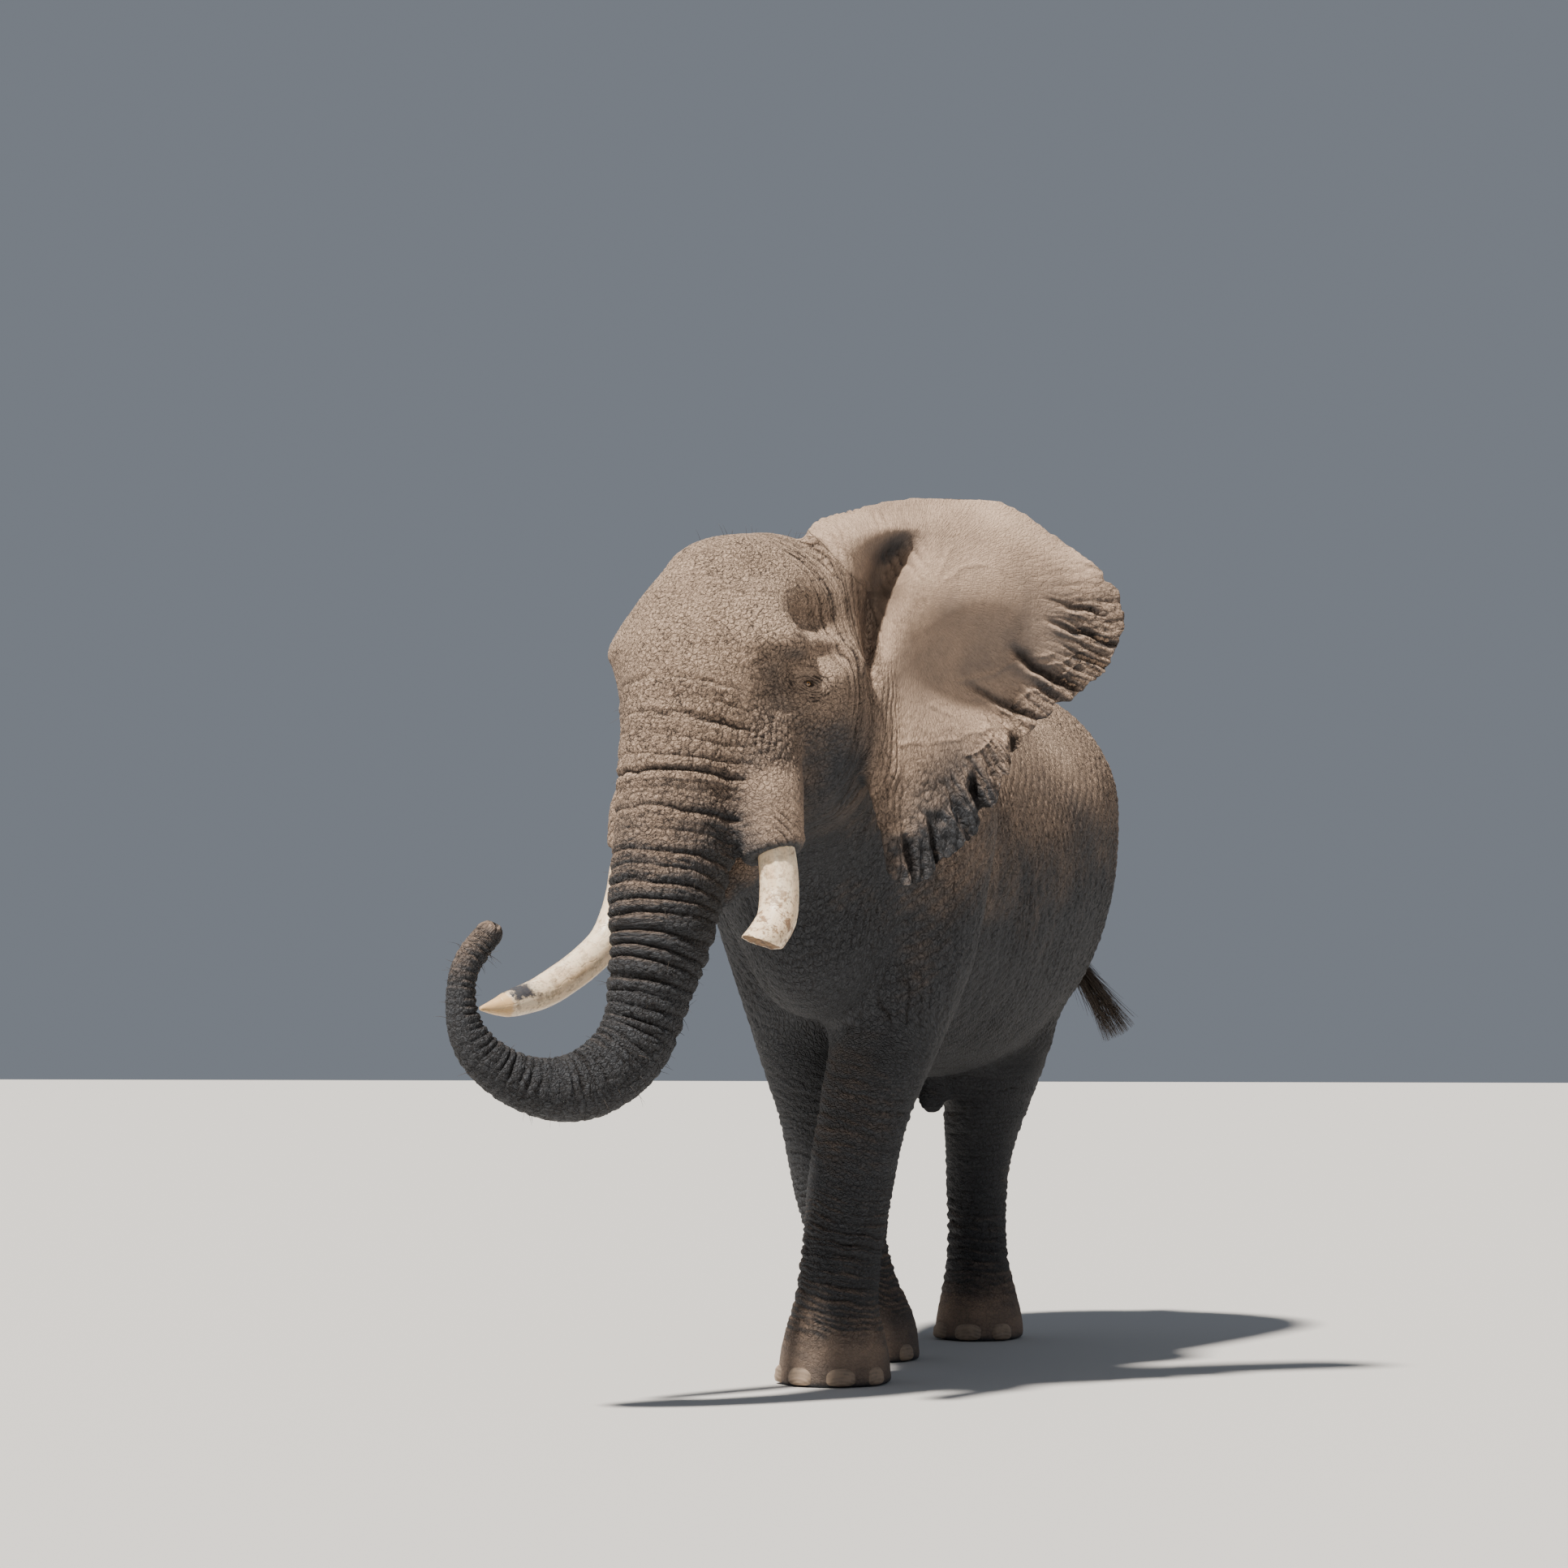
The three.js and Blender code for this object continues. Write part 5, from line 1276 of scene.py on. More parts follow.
def hide_finish():
    f = Finish("hide")
    place, fan = f.held("grain", True), f.held("fan", True)
    dust_and_shade, crease_shade, fanned, scaly = f.held("dust_and_shade"), f.held("crease_shade"), f.held("fanned"), f.held("scaly")
    cell = f.cells(f.stirred(place, 0.05, 0.016), 0.021)
    fan_cell = f.cells(f.stirred(fan, 0.06, 0.012), 0.016)
    small = f.cells(f.stirred(place, 0.03, 0.008), 0.0095)
    speck = f.noise(place, 0.011, 3.0, 0.66).rise(0.49, 0.63) * scaly
    patch = f.noise(place, 0.11, 3.0, 0.6).rise(0.36, 0.62)
    grit = f.noise(place, 0.005, 3.0, 0.62)
    mottle = f.noise(place, 0.26, 4.0, 0.6)
    edge = cell * (1 - fanned) + fan_cell * fanned
    crack = (1 - edge.rise(0.0, 0.13)) * scaly * (0.35 + patch * 0.65)
    small_crack = (1 - small.rise(0.0, 0.17)) * scaly
    # Painted shade: creases and the cracks between cells darken towards near black, or dusty brown where dust lies; the
    # dark specks are the hide's own.
    crease_shade_and_specks = (crease_shade * 0.95 + crack * 0.42 + small_crack * 0.26 + speck * 0.22).least(1.0)
    # Dust over the dark hide; the same mask carries painted light on top and painted shade below.
    dust_and_light = (dust_and_shade + (mottle - 0.5) * 0.42).rise(0.18, 0.86)
    bare = f.blend(dust_and_light, DARK_HIDE_AND_SHADE, DUST)
    powdered = (dust_and_shade + (mottle - 0.5) * 0.6 + (grit - 0.5) * 0.9).rise(0.68, 1.12)
    colour = f.blend(crease_shade_and_specks, f.blend(powdered, bare, PALE_DUST), f.blend(dust_and_light * 0.8, BLACK_CREASE_SHADE, DUSTY_CREASE_SHADE))
    height = edge.rise(0.0, 0.2) * scaly * 0.0042 + small.rise(0.0, 0.3) * scaly * 0.0018
    height = height + grit * 0.0011 - speck * 0.0036
    return f.surface(
        Base_Color=colour, Roughness=0.93 - (1 - dust_and_light) * 0.24, Normal=f.bump(height, 1.0), Specular_IOR_Level=0.3,
    )


# ---------- the hide ----------
def dust_and_painted_shade(skin, places, normal):
    """Dust on what faces up, high on the body and on the feet, with painted light from above and painted shade below:
    darker lower down, down the trunk, low on the ears, in the eye sockets and on the cheeks.
    """
    p = skin.p
    cloudy = clouds(p, 380, 3, 95)
    # Lighter on what faces up and higher up: partly dust, partly painted light from above and painted shade below.
    dust_and_shade = 0.16 + 0.36 * normal[:, 2] + 0.50 * ease(1550, 2620, p[:, 2] + 340 * cloudy) + 0.14 * cloudy
    # Darker down the trunk: partly the hide's own darker colour, partly painted shade.
    dust_and_shade -= 0.26 * places.trunk * ease(900, 1500, places.reach)
    dust_and_shade += 0.46 * places.trunk * ease(2150, 2650, places.reach + 90 * cloudy)
    # Darker low on the ears: partly the hide's own darker colour, partly painted shade.
    dust_and_shade -= 0.05 * places.ear * (1 - ease(2000, 2720, places.height + 120 * cloudy))
    dust_and_shade += 0.17 * (1 - places.out) * (1 - places.trunk * ease(450, 1050, places.reach))
    side = places.head.copy()
    side[:, 0] = np.abs(side[:, 0])
    # Painted shade in the eye sockets, below them, and on the cheeks and jaw.
    dust_and_shade -= 0.22 * toward(side, (352, -265, -110), (95, 100, 105)) * (1 - places.out)
    dust_and_shade -= 0.26 * toward(side, (345, -310, -320), (100, 120, 150)) * (1 - places.out)
    dust_and_shade -= 0.42 * toward(side, (400, 60, -400), (150, 210, 270)) * (1 - places.ear)
    feet = 1 - ease(40, 420, p[:, 2] + 120 * clouds(p, 130, 3, 98))
    return np.clip(dust_and_shade + 0.38 * feet, 0, 1)


def grain_of(places):
    """Where each point lies in the hide's grain: upright cells on the flanks, level ones on the legs."""
    grain = places.lie.copy()
    out, leg = places.out, places.leg
    grain[:, 1] = (grain[:, 1] + 1900) * (1 + 0.34 * out * (1 - leg)) - 1900
    grain[:, 2] = (grain[:, 2] - 1325) * (1 + out * (0.62 * leg - 0.38)) + 1325
    return grain * 0.001


def fan_of(places):
    """Grain that spreads from the ear's root on the ears, and runs round the temple on the face."""
    turn, away = fan_place(places.across, places.height)
    ear = np.stack([turn * 620, away * 0.4, np.zeros_like(turn)], 1)
    side = places.head.copy()
    side[:, 0] = np.abs(side[:, 0])
    swirl = 20 * clouds(places.head, (170, 170, 260), 2, 51)
    ring = np.hypot((side[:, 1] + 330) * 0.95, (side[:, 2] + 90) * 0.6) + swirl
    turn = np.arctan2(side[:, 2] + 90, side[:, 1] + 330)
    face = np.stack([ring * 1.25, turn * 130, side[:, 0] * 0.3], 1)
    return np.where((places.ear > 0.5)[:, None], ear, face) * 0.001


def fanned_of(places):
    side = places.head
    ring = np.hypot((side[:, 1] + 330) * 0.95, (side[:, 2] + 90) * 0.6)
    face = ease(215, 300, ring) * ease(-70, 60, side[:, 1] + 0.18 * side[:, 2]) * (1 - places.out)
    return np.maximum(face * (1 - places.trunk), ease(0.2, 0.8, places.ear))


def scaliness(places):
    """How strongly the fine cells show: least on the smooth upper lobe of the ears, the eyelids and the feet."""
    _, share, bearing = edge_gap(places.across, places.height)
    flap = np.maximum(ease(0.5, 0.85, share) * (1 - ease(0.35, 0.7, bearing)), 1 - ease(2300, 2650, places.height))
    smooth_ear = ease(0.3, 0.8, places.ear) * (1 - 0.8 * flap)
    foot = 0.6 * (1 - ease(90, 260, places.body[:, 2]))
    side = np.abs(places.head[:, 0])
    sheath = (1 - ease(-560, -440, places.head[:, 2])) * ease(230, 300, side) * (1 - places.out) * (1 - places.ear)
    return np.clip(1 - 0.68 * smooth_ear - foot - 0.6 * places.near_eye - 0.1 * sheath, 0, 1)


def hide():
    """One skin over all the flesh."""
    skin = made_skin()
    places = Places(skin)
    grain, fan = grain_of(places), fan_of(places)
    fold_ears(skin, places)
    line = give_relief(skin, places)
    open_lids(skin, places, line)
    open_nostrils(skin)
    normal = skin.normals()
    mesh = mesh_of("hide", skin.p, skin.triangles)
    mark(mesh, "grain", grain, "FLOAT_VECTOR")
    mark(mesh, "fan", fan, "FLOAT_VECTOR")
    mark(mesh, "fanned", fanned_of(places))
    mark(mesh, "scaly", scaliness(places))
    mark(mesh, "dust_and_shade", dust_and_painted_shade(skin, places, normal))
    mark(mesh, "crease_shade", line)
    nodes = [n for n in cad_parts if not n.startswith(("nail", "tusk", "eye", "tail_brush"))]
    piece_of("hide", mesh, hide_finish(), "hide", *nodes)
    return skin.p, normal, places


# ---------- lofts ----------
def frames_along(path):
    """Tangents and two carried directions at each point of a path."""
    tangent = unit(np.gradient(path, axis=0))
    across = [unit(np.cross((0.12, 1, 0), tangent[0]))]
    for t in tangent[1:]:
        across.append(unit(across[-1] - t * (across[-1] @ t)))
    across = np.array(across)
    return tangent, across, np.cross(tangent, across)


def tube_faces(rings, sides, first=0):
    """Quads between rings of points that follow each other."""
    ring = np.arange(rings - 1)[:, None] * sides
    here = np.arange(sides)[None]
    after = (here + 1) % sides
    quads = np.stack([ring + here, ring + after, ring + sides + after, ring + sides + here], -1)
    return quads.reshape(-1, 4) + first


def halves(quads):
    return quads[:, [[0, 1, 2], [0, 2, 3]]].reshape(-1, 3)


def capped(rings):
    """Points and triangles of rings closed at both ends."""
    count, sides, _ = rings.shape
    p = rings.reshape(-1, 3)
    triangles = [halves(tube_faces(count, sides))]
    for ring in (0, count - 1):
        own = ring * sides + np.arange(sides)
        fan = np.c_[own, np.roll(own, -1), np.full(sides, len(p))]
        triangles.append(fan[:, ::-1] if ring == 0 else fan)
        p = np.vstack([p, rings[ring].mean(0)])
    return p.astype(np.float32), np.vstack(triangles)


# ---------- tusks ----------
TUSK_SIDES, TUSK_STEPS = 96, 150


def tusk_rings(stations, side):
    """Rings of a tusk from root to tip, each a little lumpy, as ivory grows."""
    line = smooth_line([(side * x, y, z, r) for x, y, z, r in stations], 24)
    path = from_head(line[:, :3])
    _, across, up = frames_along(path)
    turn = np.linspace(0, 2 * np.pi, TUSK_SIDES, endpoint=False)
    wheel = across[:, None] * np.cos(turn)[None, :, None] + up[:, None] * np.sin(turn)[None, :, None]
    rough = path[:, None] + wheel * line[:, 3][:, None, None]
    flat = rough.reshape(-1, 3).astype(np.float32)
    lumps = (1.6 * clouds(flat, (90, 90, 150), 3, 101) + 0.5 * cloud(flat, 14, 104)).reshape(rough.shape[:2])
    radius = np.minimum(line[:, 3][:, None] - 1, line[:, 3][:, None] - 2 + lumps)
    return path, path[:, None] + wheel * np.maximum(radius, 1)[:, :, None]


def whole_tusk():
    path, rings = tusk_rings(TUSK_ROOT + TUSK_WHOLE, -1)
    return capped(rings[:-2]), path


def broken_tusk():
    """A tusk whose end is snapped off aslant: a chipped rim round a dished, layered face."""
    path, rings = tusk_rings(TUSK_ROOT + TUSK_BROKEN, 1)
    at, facing = from_head(points([BREAK_AT]))[0], unit(turn_out([BREAK_FACING])[0])
    edge = rings[-1].astype(np.float32)
    chips = 5 * clouds(edge, 34, 3, 111) + 2 * cloud(edge, 9, 114)
    beyond = (rings - at) @ facing - chips[None]
    made = np.empty((TUSK_STEPS, TUSK_SIDES, 3))
    for k in range(TUSK_SIDES):
        last = max(int(np.argmax(beyond[:, k] > 0)), 1)
        share = beyond[last - 1, k] / (beyond[last - 1, k] - beyond[last, k])
        stops = np.linspace(0, 1, TUSK_STEPS) * (last - 1 + share)
        for axis in range(3):
            made[:, k, axis] = np.interp(stops, np.arange(len(rings)), rings[:, k, axis])
    middle = made[-1].mean(0)
    near_end = np.exp(-np.arange(TUSK_STEPS)[::-1] / 1.6)[:, None, None]
    made += (middle - made) * near_end * 0.05
    face = [made]
    for share in np.linspace(0.94, 0.06, 22):
        ring = middle + (made[-1] - middle) * share
        layers = 2.4 * np.sin((1 - share) * 26 + 2 * cloud(ring.astype(np.float32), 30, 115))
        dish = 15 * (1 - share**2) + layers * (1 - share) + 2 * clouds(ring.astype(np.float32), 16, 2, 116)
        face.append((ring - facing * np.asarray(dish)[:, None])[None])
    return capped(np.vstack(face)), path


def ivory_finish(name, end_stain):
    f = Finish(name)
    place = f.held("place", True)
    along = f.held("along")
    raised = f.held("upper")
    face = f.held("face")
    streak = f.noise(f.stretched(place, (14.0, 14.0, 2.2)), 1.0, 4.0, 0.62)
    split = f.cells(f.stretched(f.stirred(place, 0.05, 0.03), (30.0, 30.0, 7.0)), 1.0)
    blotch = f.noise(place, 0.05, 4.0, 0.7)
    fleck = f.noise(place, 0.011, 3.0, 0.65)
    ivory = f.blend(streak.rise(0.3, 0.75), (0.95, 0.80, 0.60, 1), (0.80, 0.58, 0.36, 1))
    stained = (blotch * 0.7 + fleck * 0.5).rise(0.57, 0.70)
    stained = stained * (0.3 + end_stain * along.rise(0.3, 0.9))
    ivory = f.blend(stained.least(1.0) * 0.85, ivory, (0.22, 0.12, 0.06, 1))
    ivory = f.blend((1 - along.rise(0.2, 0.42)) * 0.55, ivory, (0.42, 0.30, 0.19, 1))
    if end_stain < 0.5:
        # A ragged blue-black band over the upper side near the end is a painted shadow; past it the point is stained
        # brown.
        ragged_end = along + (blotch - 0.5) * 0.14 + (fleck - 0.5) * 0.03
        painted_shadow_band = ragged_end.rise(0.79, 0.85) * (1 - ragged_end.rise(0.885, 0.90))
        painted_shadow_band = painted_shadow_band * (raised + (blotch - 0.5) * 1.1 + (fleck - 0.5) * 0.5).rise(0.42, 0.72)
        ivory = f.blend(painted_shadow_band * 0.95, ivory, (0.016, 0.024, 0.040, 1))
        point = (along + (blotch - 0.5) * 0.03).rise(0.895, 0.91)
        ivory = f.blend(point, ivory, f.blend(streak, (0.82, 0.58, 0.32, 1), (0.62, 0.36, 0.15, 1)))
    grain = f.noise(f.stretched(place, (40.0, 40.0, 40.0)), 1.0, 4.0, 0.7)
    snapped = f.blend(grain.rise(0.3, 0.7), (0.25, 0.15, 0.075, 1), (0.06, 0.035, 0.02, 1))
    ivory = f.blend(face, ivory, snapped)
    crack = 1 - split.rise(0.0, 0.05)
    ivory = f.blend(crack * blotch.rise(0.5, 0.66) * 0.6, ivory, (0.16, 0.09, 0.05, 1))
    height = split.rise(0.0, 0.06) * 0.0006 + streak * 0.0008 + fleck * 0.0003 + face * grain * 0.003
    return f.surface(
        Base_Color=ivory, Roughness=0.34 + streak * 0.16 + face * 0.3, Normal=f.bump(height, 1.0),
        Subsurface_Weight=0.12, Subsurface_Radius=(0.02, 0.012, 0.007), Coat_Roughness=0.25,
    )


def tusks():
    for name, made, stain in (("tusk_right", whole_tusk, 0.25), ("tusk_left", broken_tusk, 0.9)):
        (p, triangles), path = made()
        mesh = mesh_of(name + "_ivory", p, triangles)
        along, far, _, a, b = along_line(p, np.c_[path, np.ones(len(path))].astype(np.float32))
        length = np.linalg.norm(np.diff(path, axis=0), axis=1).sum()
        mark(mesh, "place", np.stack([a, b, along], 1) * 0.001, "FLOAT_VECTOR")
        mark(mesh, "along", along / length)
        mark(mesh, "upper", ease(-30, 40, p[:, 2] - np.interp(along, *height_of(path))))
        cap = np.zeros(len(p))
        if stain > 0.5:
            cap[TUSK_STEPS * TUSK_SIDES :] = 1
            cap[-2:] = (0, 1)
        mark(mesh, "face", cap)
        piece_of(name + "_ivory", mesh, ivory_finish(name + "_ivory", stain), "ivory", name)


def height_of(path):
    length = np.concatenate([[0], np.cumsum(np.linalg.norm(np.diff(path, axis=0), axis=1))])
    return length, path[:, 2]


# ---------- eyes ----------
def eyes():
    turn, tilt = np.meshgrid(np.linspace(0, 2 * np.pi, 64, endpoint=False), np.linspace(0.02, np.pi - 0.02, 48))
    for side, name in ((1, "eye_left"), (-1, "eye_right")):
        out, ahead, up = eye_axes(side)
        radius = EYE_RADIUS - 0.4 + 1.2 * (1 - ease(0.35, 0.62, tilt))
        round_part = np.cos(turn)[..., None] * ahead + np.sin(turn)[..., None] * up
        rings = (out * np.cos(tilt)[..., None] + round_part * np.sin(tilt)[..., None]) * radius[..., None]
        at = EYE_AT * (side, 1, 1)
        p, triangles = capped(rings)
        if np.cross(rings[20, 1] - rings[20, 0], rings[21, 0] - rings[20, 0]) @ rings[20, 0] < 0:
            triangles = triangles[:, ::-1]
        mesh = mesh_of(name + "_ball", from_head(p + at).astype(np.float32), triangles)
        local = np.stack([p @ ahead, p @ up, p @ out], 1)
        mark(mesh, "place", local * 0.001, "FLOAT_VECTOR")
        piece_of(name + "_ball", mesh, eye_finish(), "eye", name)


def eye_finish():
    f = Finish("eye")
    place = f.held("place", True)
    parts = f.node("ShaderNodeSeparateXYZ", {}, {0: place})
    across, upward = parts, Wire(f, parts.socket.node.outputs[1])
    away = ((across * across + upward * upward) ** 0.5) * 1000
    bearing = across.maths("ARCTAN2", upward)
    ray = f.node("ShaderNodeCombineXYZ", {}, {0: bearing * 7, 1: away * 0.12})
    streak = f.noise(ray, 1.0, 3.0, 0.7)
    iris = f.blend(streak.rise(0.3, 0.72), (0.20, 0.085, 0.022, 1), (0.42, 0.22, 0.07, 1))
    iris = f.blend(away.rise(7.5, 10.2), iris, (0.035, 0.016, 0.008, 1))
    white = f.blend(f.noise(place, 0.004, 3.0, 0.6), (0.10, 0.055, 0.035, 1), (0.19, 0.12, 0.085, 1))
    colour = f.blend(away.rise(10.2, 11.4), iris, white)
    colour = f.blend(1 - away.rise(3.3, 4.1), colour, (0.004, 0.003, 0.003, 1))
    return f.surface(Base_Color=colour, Roughness=0.12 + away.rise(10.5, 14.0) * 0.1, Coat_Weight=1.0, Coat_Roughness=0.04)


# ---------- toenails ----------
def nail_shape(foot, squash, bearing, half):
    """A domed nail on the foot's front, let into the flesh round its edge."""
    turn = math.radians(bearing)
    outward, along = np.array([math.sin(turn), -math.cos(turn), 0]), np.array([math.cos(turn), math.sin(turn), 0])
    reach = foot[3] * math.hypot(outward[0] * squash[0], outward[1] * squash[1])
    around = np.linspace(0, 2 * np.pi, 56, endpoint=False)
    c, s = np.cos(around), np.sin(around)
    wide = np.sign(c) * np.abs(c) ** 0.72
    tall = np.sign(s) * np.abs(s) ** np.where(s > 0, 0.9, 0.5)
    rings = []
    for share in np.concatenate([[1.0], np.linspace(1.0, 0.04, 20)]):
        u = wide * half * share
        z = NAIL_SOLE + NAIL_HEIGHT * (0.44 + tall * share * np.where(s > 0, 0.5, 0.44))
        dome = -NAIL_DEPTH if not rings else -13 + 23 * (1 - share**5) ** 0.8
        spot = points(np.c_[u + bearing * 9, z, np.zeros_like(u)])
        arcs = 0.8 * np.sin(np.hypot(u * 0.75, z + 20) / 7.5 * 2 + cloud(spot, 40, 121)) * (1 - share**6)
        sag = u * u / (2 * reach) * 1.35
        away = reach + dome + arcs + 1.3 * cloud(spot, 18, 122) - sag - 0.16 * (z - NAIL_SOLE)
        rings.append(points([foot[:2].tolist() + [0]]) + along * u[:, None] + outward * away[:, None] + np.array([0, 0, 1.0]) * z[:, None])
    return capped(np.array(rings))


NAIL_DEPTH = 27


def nails():
    finish = nail_finish()
    feet = ("foreleg_left", "foreleg_right", "hindleg_left", "hindleg_right")
    for name, (line, squash) in zip(feet, LEGS):
        for i, (bearing, half) in enumerate(FORE_NAILS if name.startswith("fore") else HIND_NAILS):
            p, triangles = nail_shape(line[0], squash, bearing, half - 2)
            own = f"nail_{name}_{i + 1}"
            mesh = mesh_of(own + "_horn", p, triangles[:, ::-1])
            turn = math.radians(bearing)
            u = (p[:, 0] - line[0][0]) * math.cos(turn) + (p[:, 1] - line[0][1]) * math.sin(turn)
            mark(mesh, "arc", np.hypot(u * 0.75, p[:, 2] + 20) * 0.001)
            mark(mesh, "place", p * 0.001, "FLOAT_VECTOR")
            piece_of(own + "_horn", mesh, finish, "nail", own)


def nail_finish():
    f = Finish("nail")
    place, arc = f.held("place", True), f.held("arc")
    wander = f.noise(place, 0.02, 3.0, 0.6)
    lines = ((arc * 420 + wander * 2.4).maths("SINE") + 1) * 0.5
    dusty = f.noise(place, 0.045, 4.0, 0.6)
    horn = f.blend(lines * 0.7, (0.30, 0.225, 0.165, 1), (0.16, 0.12, 0.09, 1))
    horn = f.blend(dusty.rise(0.35, 0.65), horn, (0.36, 0.265, 0.19, 1))
    chip = f.noise(place, 0.008, 3.0, 0.7)
    height = lines * 0.0009 + chip * 0.0008
    return f.surface(Base_Color=horn, Roughness=0.58 + dusty * 0.25, Normal=f.bump(height, 1.0))


# ---------- hairs ----------
def strands(roots, ways, lengths, thick, droop, curl, seed, steps=7, sides=4):
    """Tapering hairs from roots, each bent by its weight and a curl of its own."""
    chance = np.random.RandomState(seed)
    count = len(roots)
    way = unit(np.asarray(ways, float))
    bend = unit(chance.normal(size=(count, 3))) * curl
    at = np.asarray(roots, float).copy()
    path = [at.copy()]
    for step in range(steps):
        way = unit(way + (bend + np.array([0, 0, -droop])) / steps)
        at = at + way * (np.asarray(lengths) / steps)[:, None]
        path.append(at.copy())
    path = np.stack(path, 1)
    ahead = unit(np.gradient(path, axis=1))
    across = unit(np.cross(ahead, unit(np.array([0.31, 0.52, 0.79]))))
    up = np.cross(ahead, across)
    taper = np.linspace(1, 0.12, steps + 1) ** 0.8
    turn = np.linspace(0, 2 * np.pi, sides, endpoint=False)
    radius = (np.asarray(thick)[:, None] * taper[None])[:, :, None, None]
    wheel = across[:, :, None] * np.cos(turn)[None, None, :, None] + up[:, :, None] * np.sin(turn)[None, None, :, None]
    p = (path[:, :, None] + wheel * radius).reshape(-1, 3)
    quads = tube_faces(steps + 1, sides)
    quads = (np.arange(count)[:, None, None] * (steps + 1) * sides + quads[None]).reshape(-1, 4)
    tips = np.arange(count)[:, None] * (steps + 1) * sides + steps * sides + np.arange(4)[None]
    return p.astype(np.float32), np.vstack([quads, tips])


PATCH = 0.003


def hair_piece(name, made, rooted, per_hair, slot_nodes=(), mask=None):
    """A piece of hairs whose map gives each hair a small patch at its root's place on the hide."""
    p, quads = made
    mesh = mesh_of(name, p, quads[:, ::-1], 4)
    layer = mesh.uv_layers.new(name="OFBake")
    vertex = np.empty(len(mesh.loops), np.int32)
    mesh.loops.foreach_get("vertex_index", vertex)
    hair, inner = vertex // per_hair, vertex % per_hair
    patch = np.stack([(inner % 4) / 3, (inner // 4) / max(per_hair // 4 - 1, 1)], 1) * PATCH
    layer.uv.foreach_set("vector", (rooted[hair] + patch).astype(np.float32).ravel())
    mark(mesh, "tip", (np.arange(len(p)) % per_hair) / per_hair)
    mark(mesh, "own", (np.arange(len(p)) // per_hair * 0.618) % 1.0)
    return piece_of(name, mesh, hair_finish(), "hair", *slot_nodes)


def hair_finish():
    f = Finish("hair")
    tip, own = f.held("tip"), f.held("own")
    colour = f.blend(own, (0.012, 0.010, 0.009, 1), (0.055, 0.038, 0.026, 1))
    colour = f.blend(tip * 0.5, colour, (0.085, 0.058, 0.038, 1))
    return f.surface(Base_Color=colour, Roughness=0.38 + own * 0.2)


def tail_brush():
    chance = np.random.RandomState(7)
    line = TAIL_LINE[TAIL_FLESH - 7 :]
    _, across, up = frames_along(line[:, :3])
    ahead = unit(np.gradient(line[:, :3], axis=0))
    count = 900
    spot = chance.uniform(0, 0.62, count) ** 0.9 * (len(line) - 1)
    i = spot.astype(int)
    turn = np.where(chance.uniform(size=count) < 0.5, 0, np.pi) + chance.normal(0, 0.75, count)
    wheel = across[i] * np.cos(turn)[:, None] + up[i] * np.sin(turn)[:, None]
    core = np.minimum(line[i, 3], 26) * 0.8
    roots = line[i, :3] + (line[np.minimum(i + 1, len(line) - 1), :3] - line[i, :3]) * (spot - i)[:, None] + wheel * core[:, None]
    ways = ahead[i] * 1.0 + wheel * chance.uniform(0.02, 0.20, count)[:, None]
    room = np.linalg.norm(line[-1, :3] - roots, axis=1)
    lengths = np.minimum(chance.uniform(150, 400, count), room * 0.98)
    made = strands(roots, ways, lengths, chance.uniform(1.3, 2.2, count), 0.16, 0.22, 8, 9)
    rooted = np.stack([turn / (2 * np.pi) % 1.0, spot / len(line)], 1) * 0.98
    hair_piece("tail_tuft", made, rooted, 40, ("tail_brush",))


def skin_map(roots):
    """A place for each root on a plain unwrap of the animal: left and right sides stand beside each other."""
    share = (roots - LOWEST) / (HIGHEST - LOWEST)
    across = 0.25 + 0.24 * (share[:, 1] * 2 - 1)
    return np.stack([across + 0.5 * (roots[:, 0] > CENTRE[0]), share[:, 2] * 0.98], 1)


def bristles(p, normal, places):
    """Sparse bristles on the trunk, chin and crown."""
    chance = np.random.RandomState(19)
    q = places.head
    chin = toward(q, (0, -160, -860), (120, 120, 90))
    crown = toward(q, (0, 20, 520), (300, 260, 160)) * 0.3
    tip = places.trunk * ease(1500, 2700, places.reach)
    odds = np.clip(0.18 * places.trunk + chin + crown + 0.5 * tip, 0, 1) * (1 - places.ear) * (1 - places.near_eye)
    chosen = np.nonzero(chance.uniform(size=len(p)) < odds * 0.006)[0]
    chosen = chosen[np.linalg.norm(q[chosen] - TRUNK_LINE[-1, :3], axis=1) > 75]
    lengths = chance.uniform(22, 62, len(chosen))
    ways = normal[chosen] + 0.35 * unit(chance.normal(size=(len(chosen), 3)))
    thick = chance.uniform(0.7, 1.1, len(chosen))
    made = strands(p[chosen] - 2 * normal[chosen], ways, lengths, thick, 0.3, 0.35, 20, 5)
    hair_piece("bristles", made, skin_map(p[chosen]), 24)


def lashes():
    """Long lashes that droop from the upper lids."""
    chance = np.random.RandomState(23)
    for side, name in ((1, "lashes_left"), (-1, "lashes_right")):
        out, ahead, up = eye_axes(side)
        a = np.linspace(-19, 20, 30) + chance.normal(0, 0.5, 30)
        b = LID_TALL * 0.9 * (1 - (a / LID_LONG) ** 2) + 2.0 - LID_TILT * a
        c = np.sqrt(np.maximum((EYE_RADIUS + 6.5) ** 2 - a * a - b * b, 1))
        roots = from_head(EYE_AT * (side, 1, 1) + a[:, None] * ahead + b[:, None] * up + c[:, None] * out)
        ways = turn_out(out * 1.0 + up * 0.12 + ahead * (a / 60)[:, None] + 0.10 * chance.normal(size=(30, 3)))
        made = strands(roots, ways, chance.uniform(30, 46, 30), chance.uniform(0.5, 0.75, 30), 0.9, 0.15, 24, 7)
        hair_piece(name, made, skin_map(roots), 32)


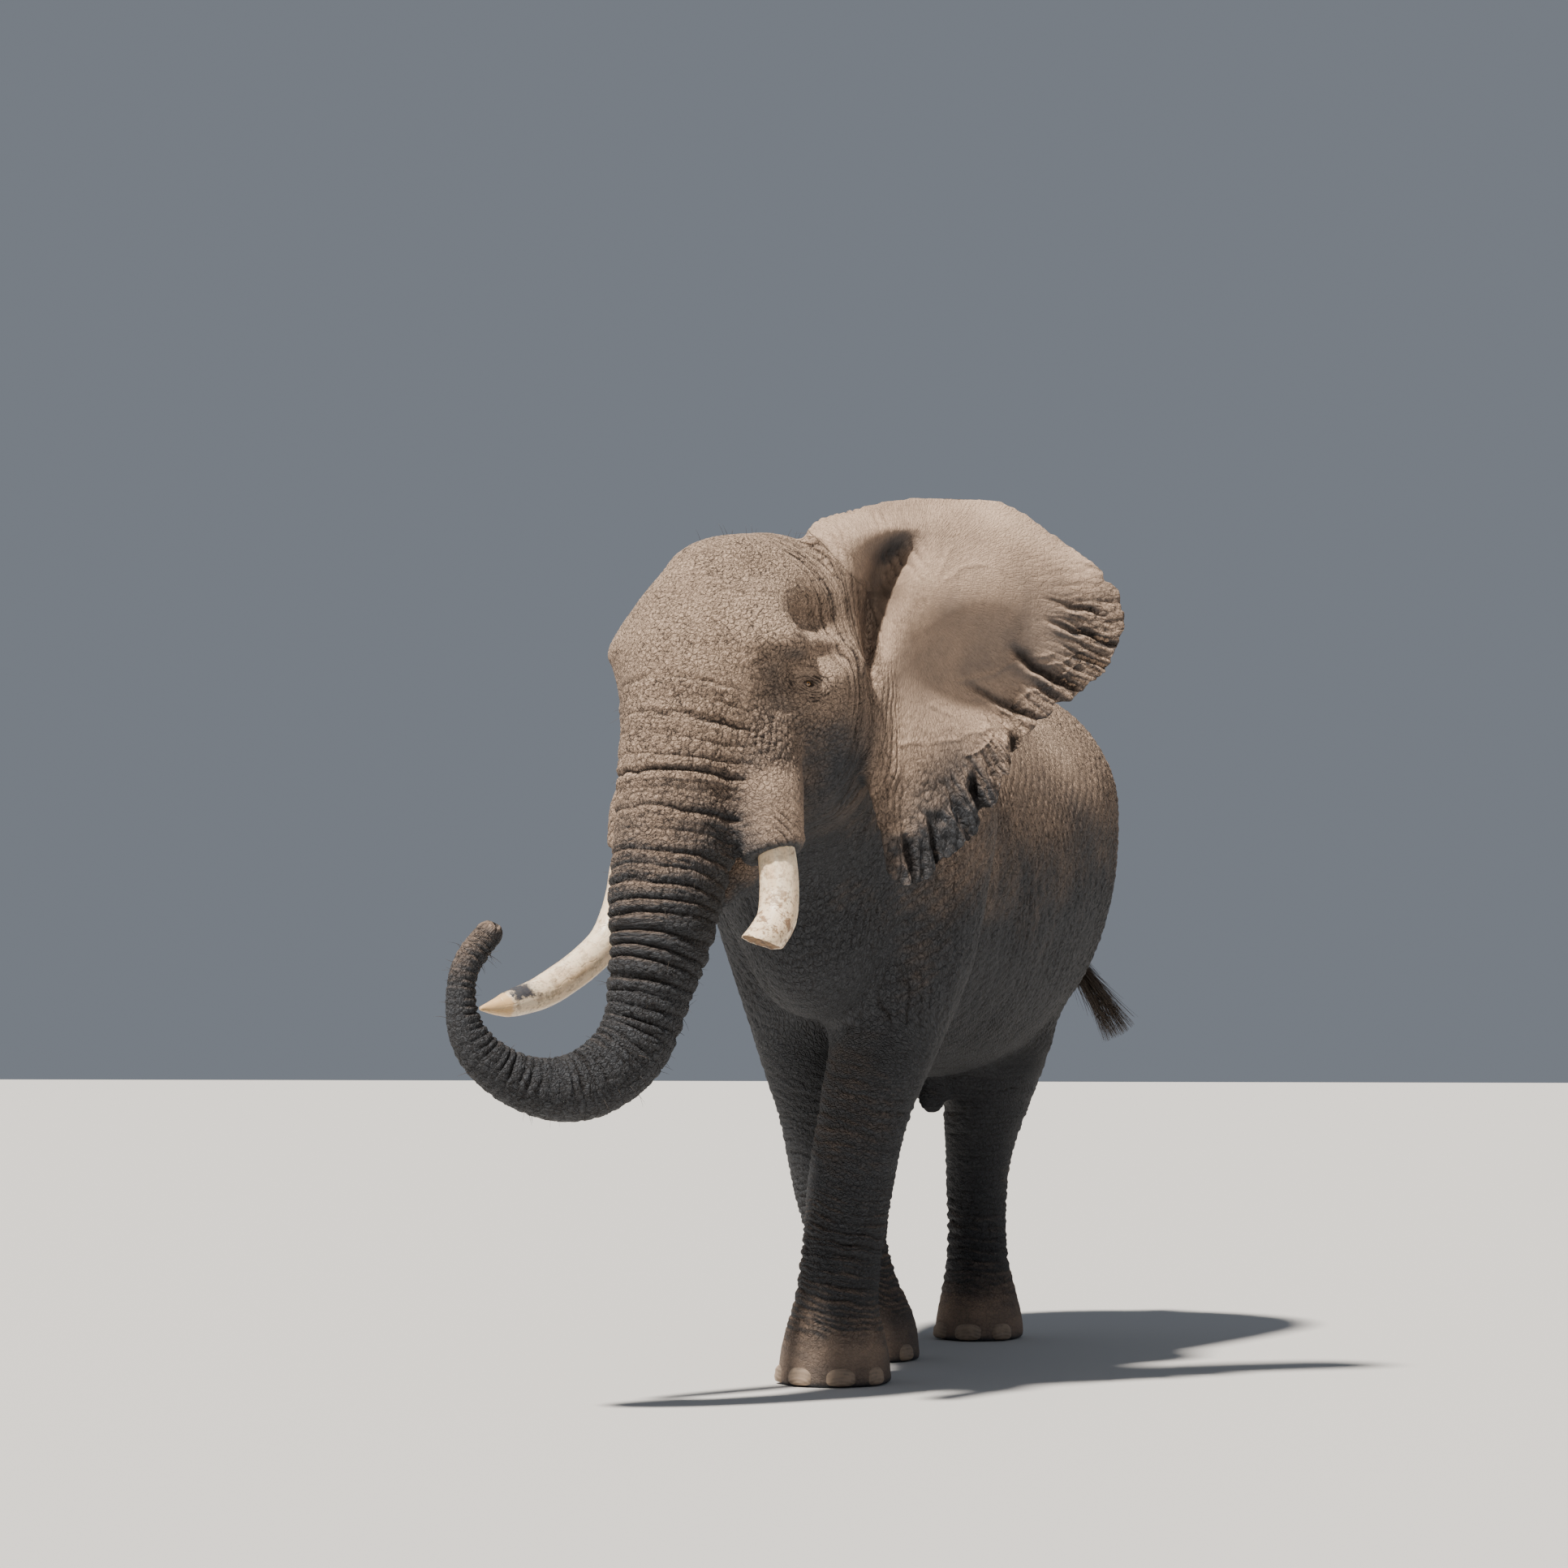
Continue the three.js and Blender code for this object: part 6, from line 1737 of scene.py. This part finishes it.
# ---------- floor, light and camera ----------
def stage():
    floor = Finish("floor")
    floor.surface(Base_Color=(0.60, 0.585, 0.565, 1), Roughness=0.9)
    mesh = bpy.data.meshes.new("floor")
    mesh.from_pydata([(x, y, 0) for x, y in ((-150, -150), (150, -150), (150, 150), (-150, 150))], [], [(0, 1, 2, 3)])
    mesh.materials.append(floor.material)
    ground = bpy.data.objects.new("floor", mesh)
    bpy.context.scene.collection.objects.link(ground)


def lamp(name, place, size, power, colour, aim=(0, 0, 1.8)):
    light = bpy.data.lights.new(name, "AREA")
    light.shape, light.size, light.energy, light.color = "DISK", size, power, colour
    held = bpy.data.objects.new(name, light)
    held.location = place
    away = np.array(place) - np.array(aim)
    pitch, yaw = math.atan2(math.hypot(*away[:2]), away[2]), math.atan2(away[1], away[0]) + math.pi / 2
    held.rotation_euler = (pitch, 0, yaw)
    bpy.context.scene.collection.objects.link(held)


def lights():
    world = bpy.data.worlds.new("studio")
    world.use_nodes = True
    background = world.node_tree.nodes["Background"]
    background.inputs["Color"].default_value = (0.74, 0.82, 0.95, 1)
    background.inputs["Strength"].default_value = 0.25
    bpy.context.scene.world = world
    sun = bpy.data.lights.new("key", "SUN")
    sun.energy, sun.angle, sun.color = 8.8, math.radians(4), (1.0, 0.94, 0.86)
    held = bpy.data.objects.new("key", sun)
    held.rotation_euler = (math.radians(30), 0, math.radians(-28))
    bpy.context.scene.collection.objects.link(held)
    lamp("fill", (9.0, -11.0, 4.0), 7.0, 60, (0.86, 0.92, 1.0))


def camera():
    lens = bpy.data.cameras.new("camera")
    lens.sensor_width, lens.lens = 36, 78.26
    lens.clip_start, lens.clip_end = 0.1, 500
    held = bpy.data.objects.new("camera", lens)
    held.location = (3.512, -13.936, 1.300)
    held.rotation_euler = (math.radians(94.547), 0, math.radians(16))
    bpy.context.scene.collection.objects.link(held)
    bpy.context.scene.camera = held


camera()
lights()
stage()
flesh = hide()
tusks()
eyes()
nails()
tail_brush()
bristles(*flesh)
lashes()
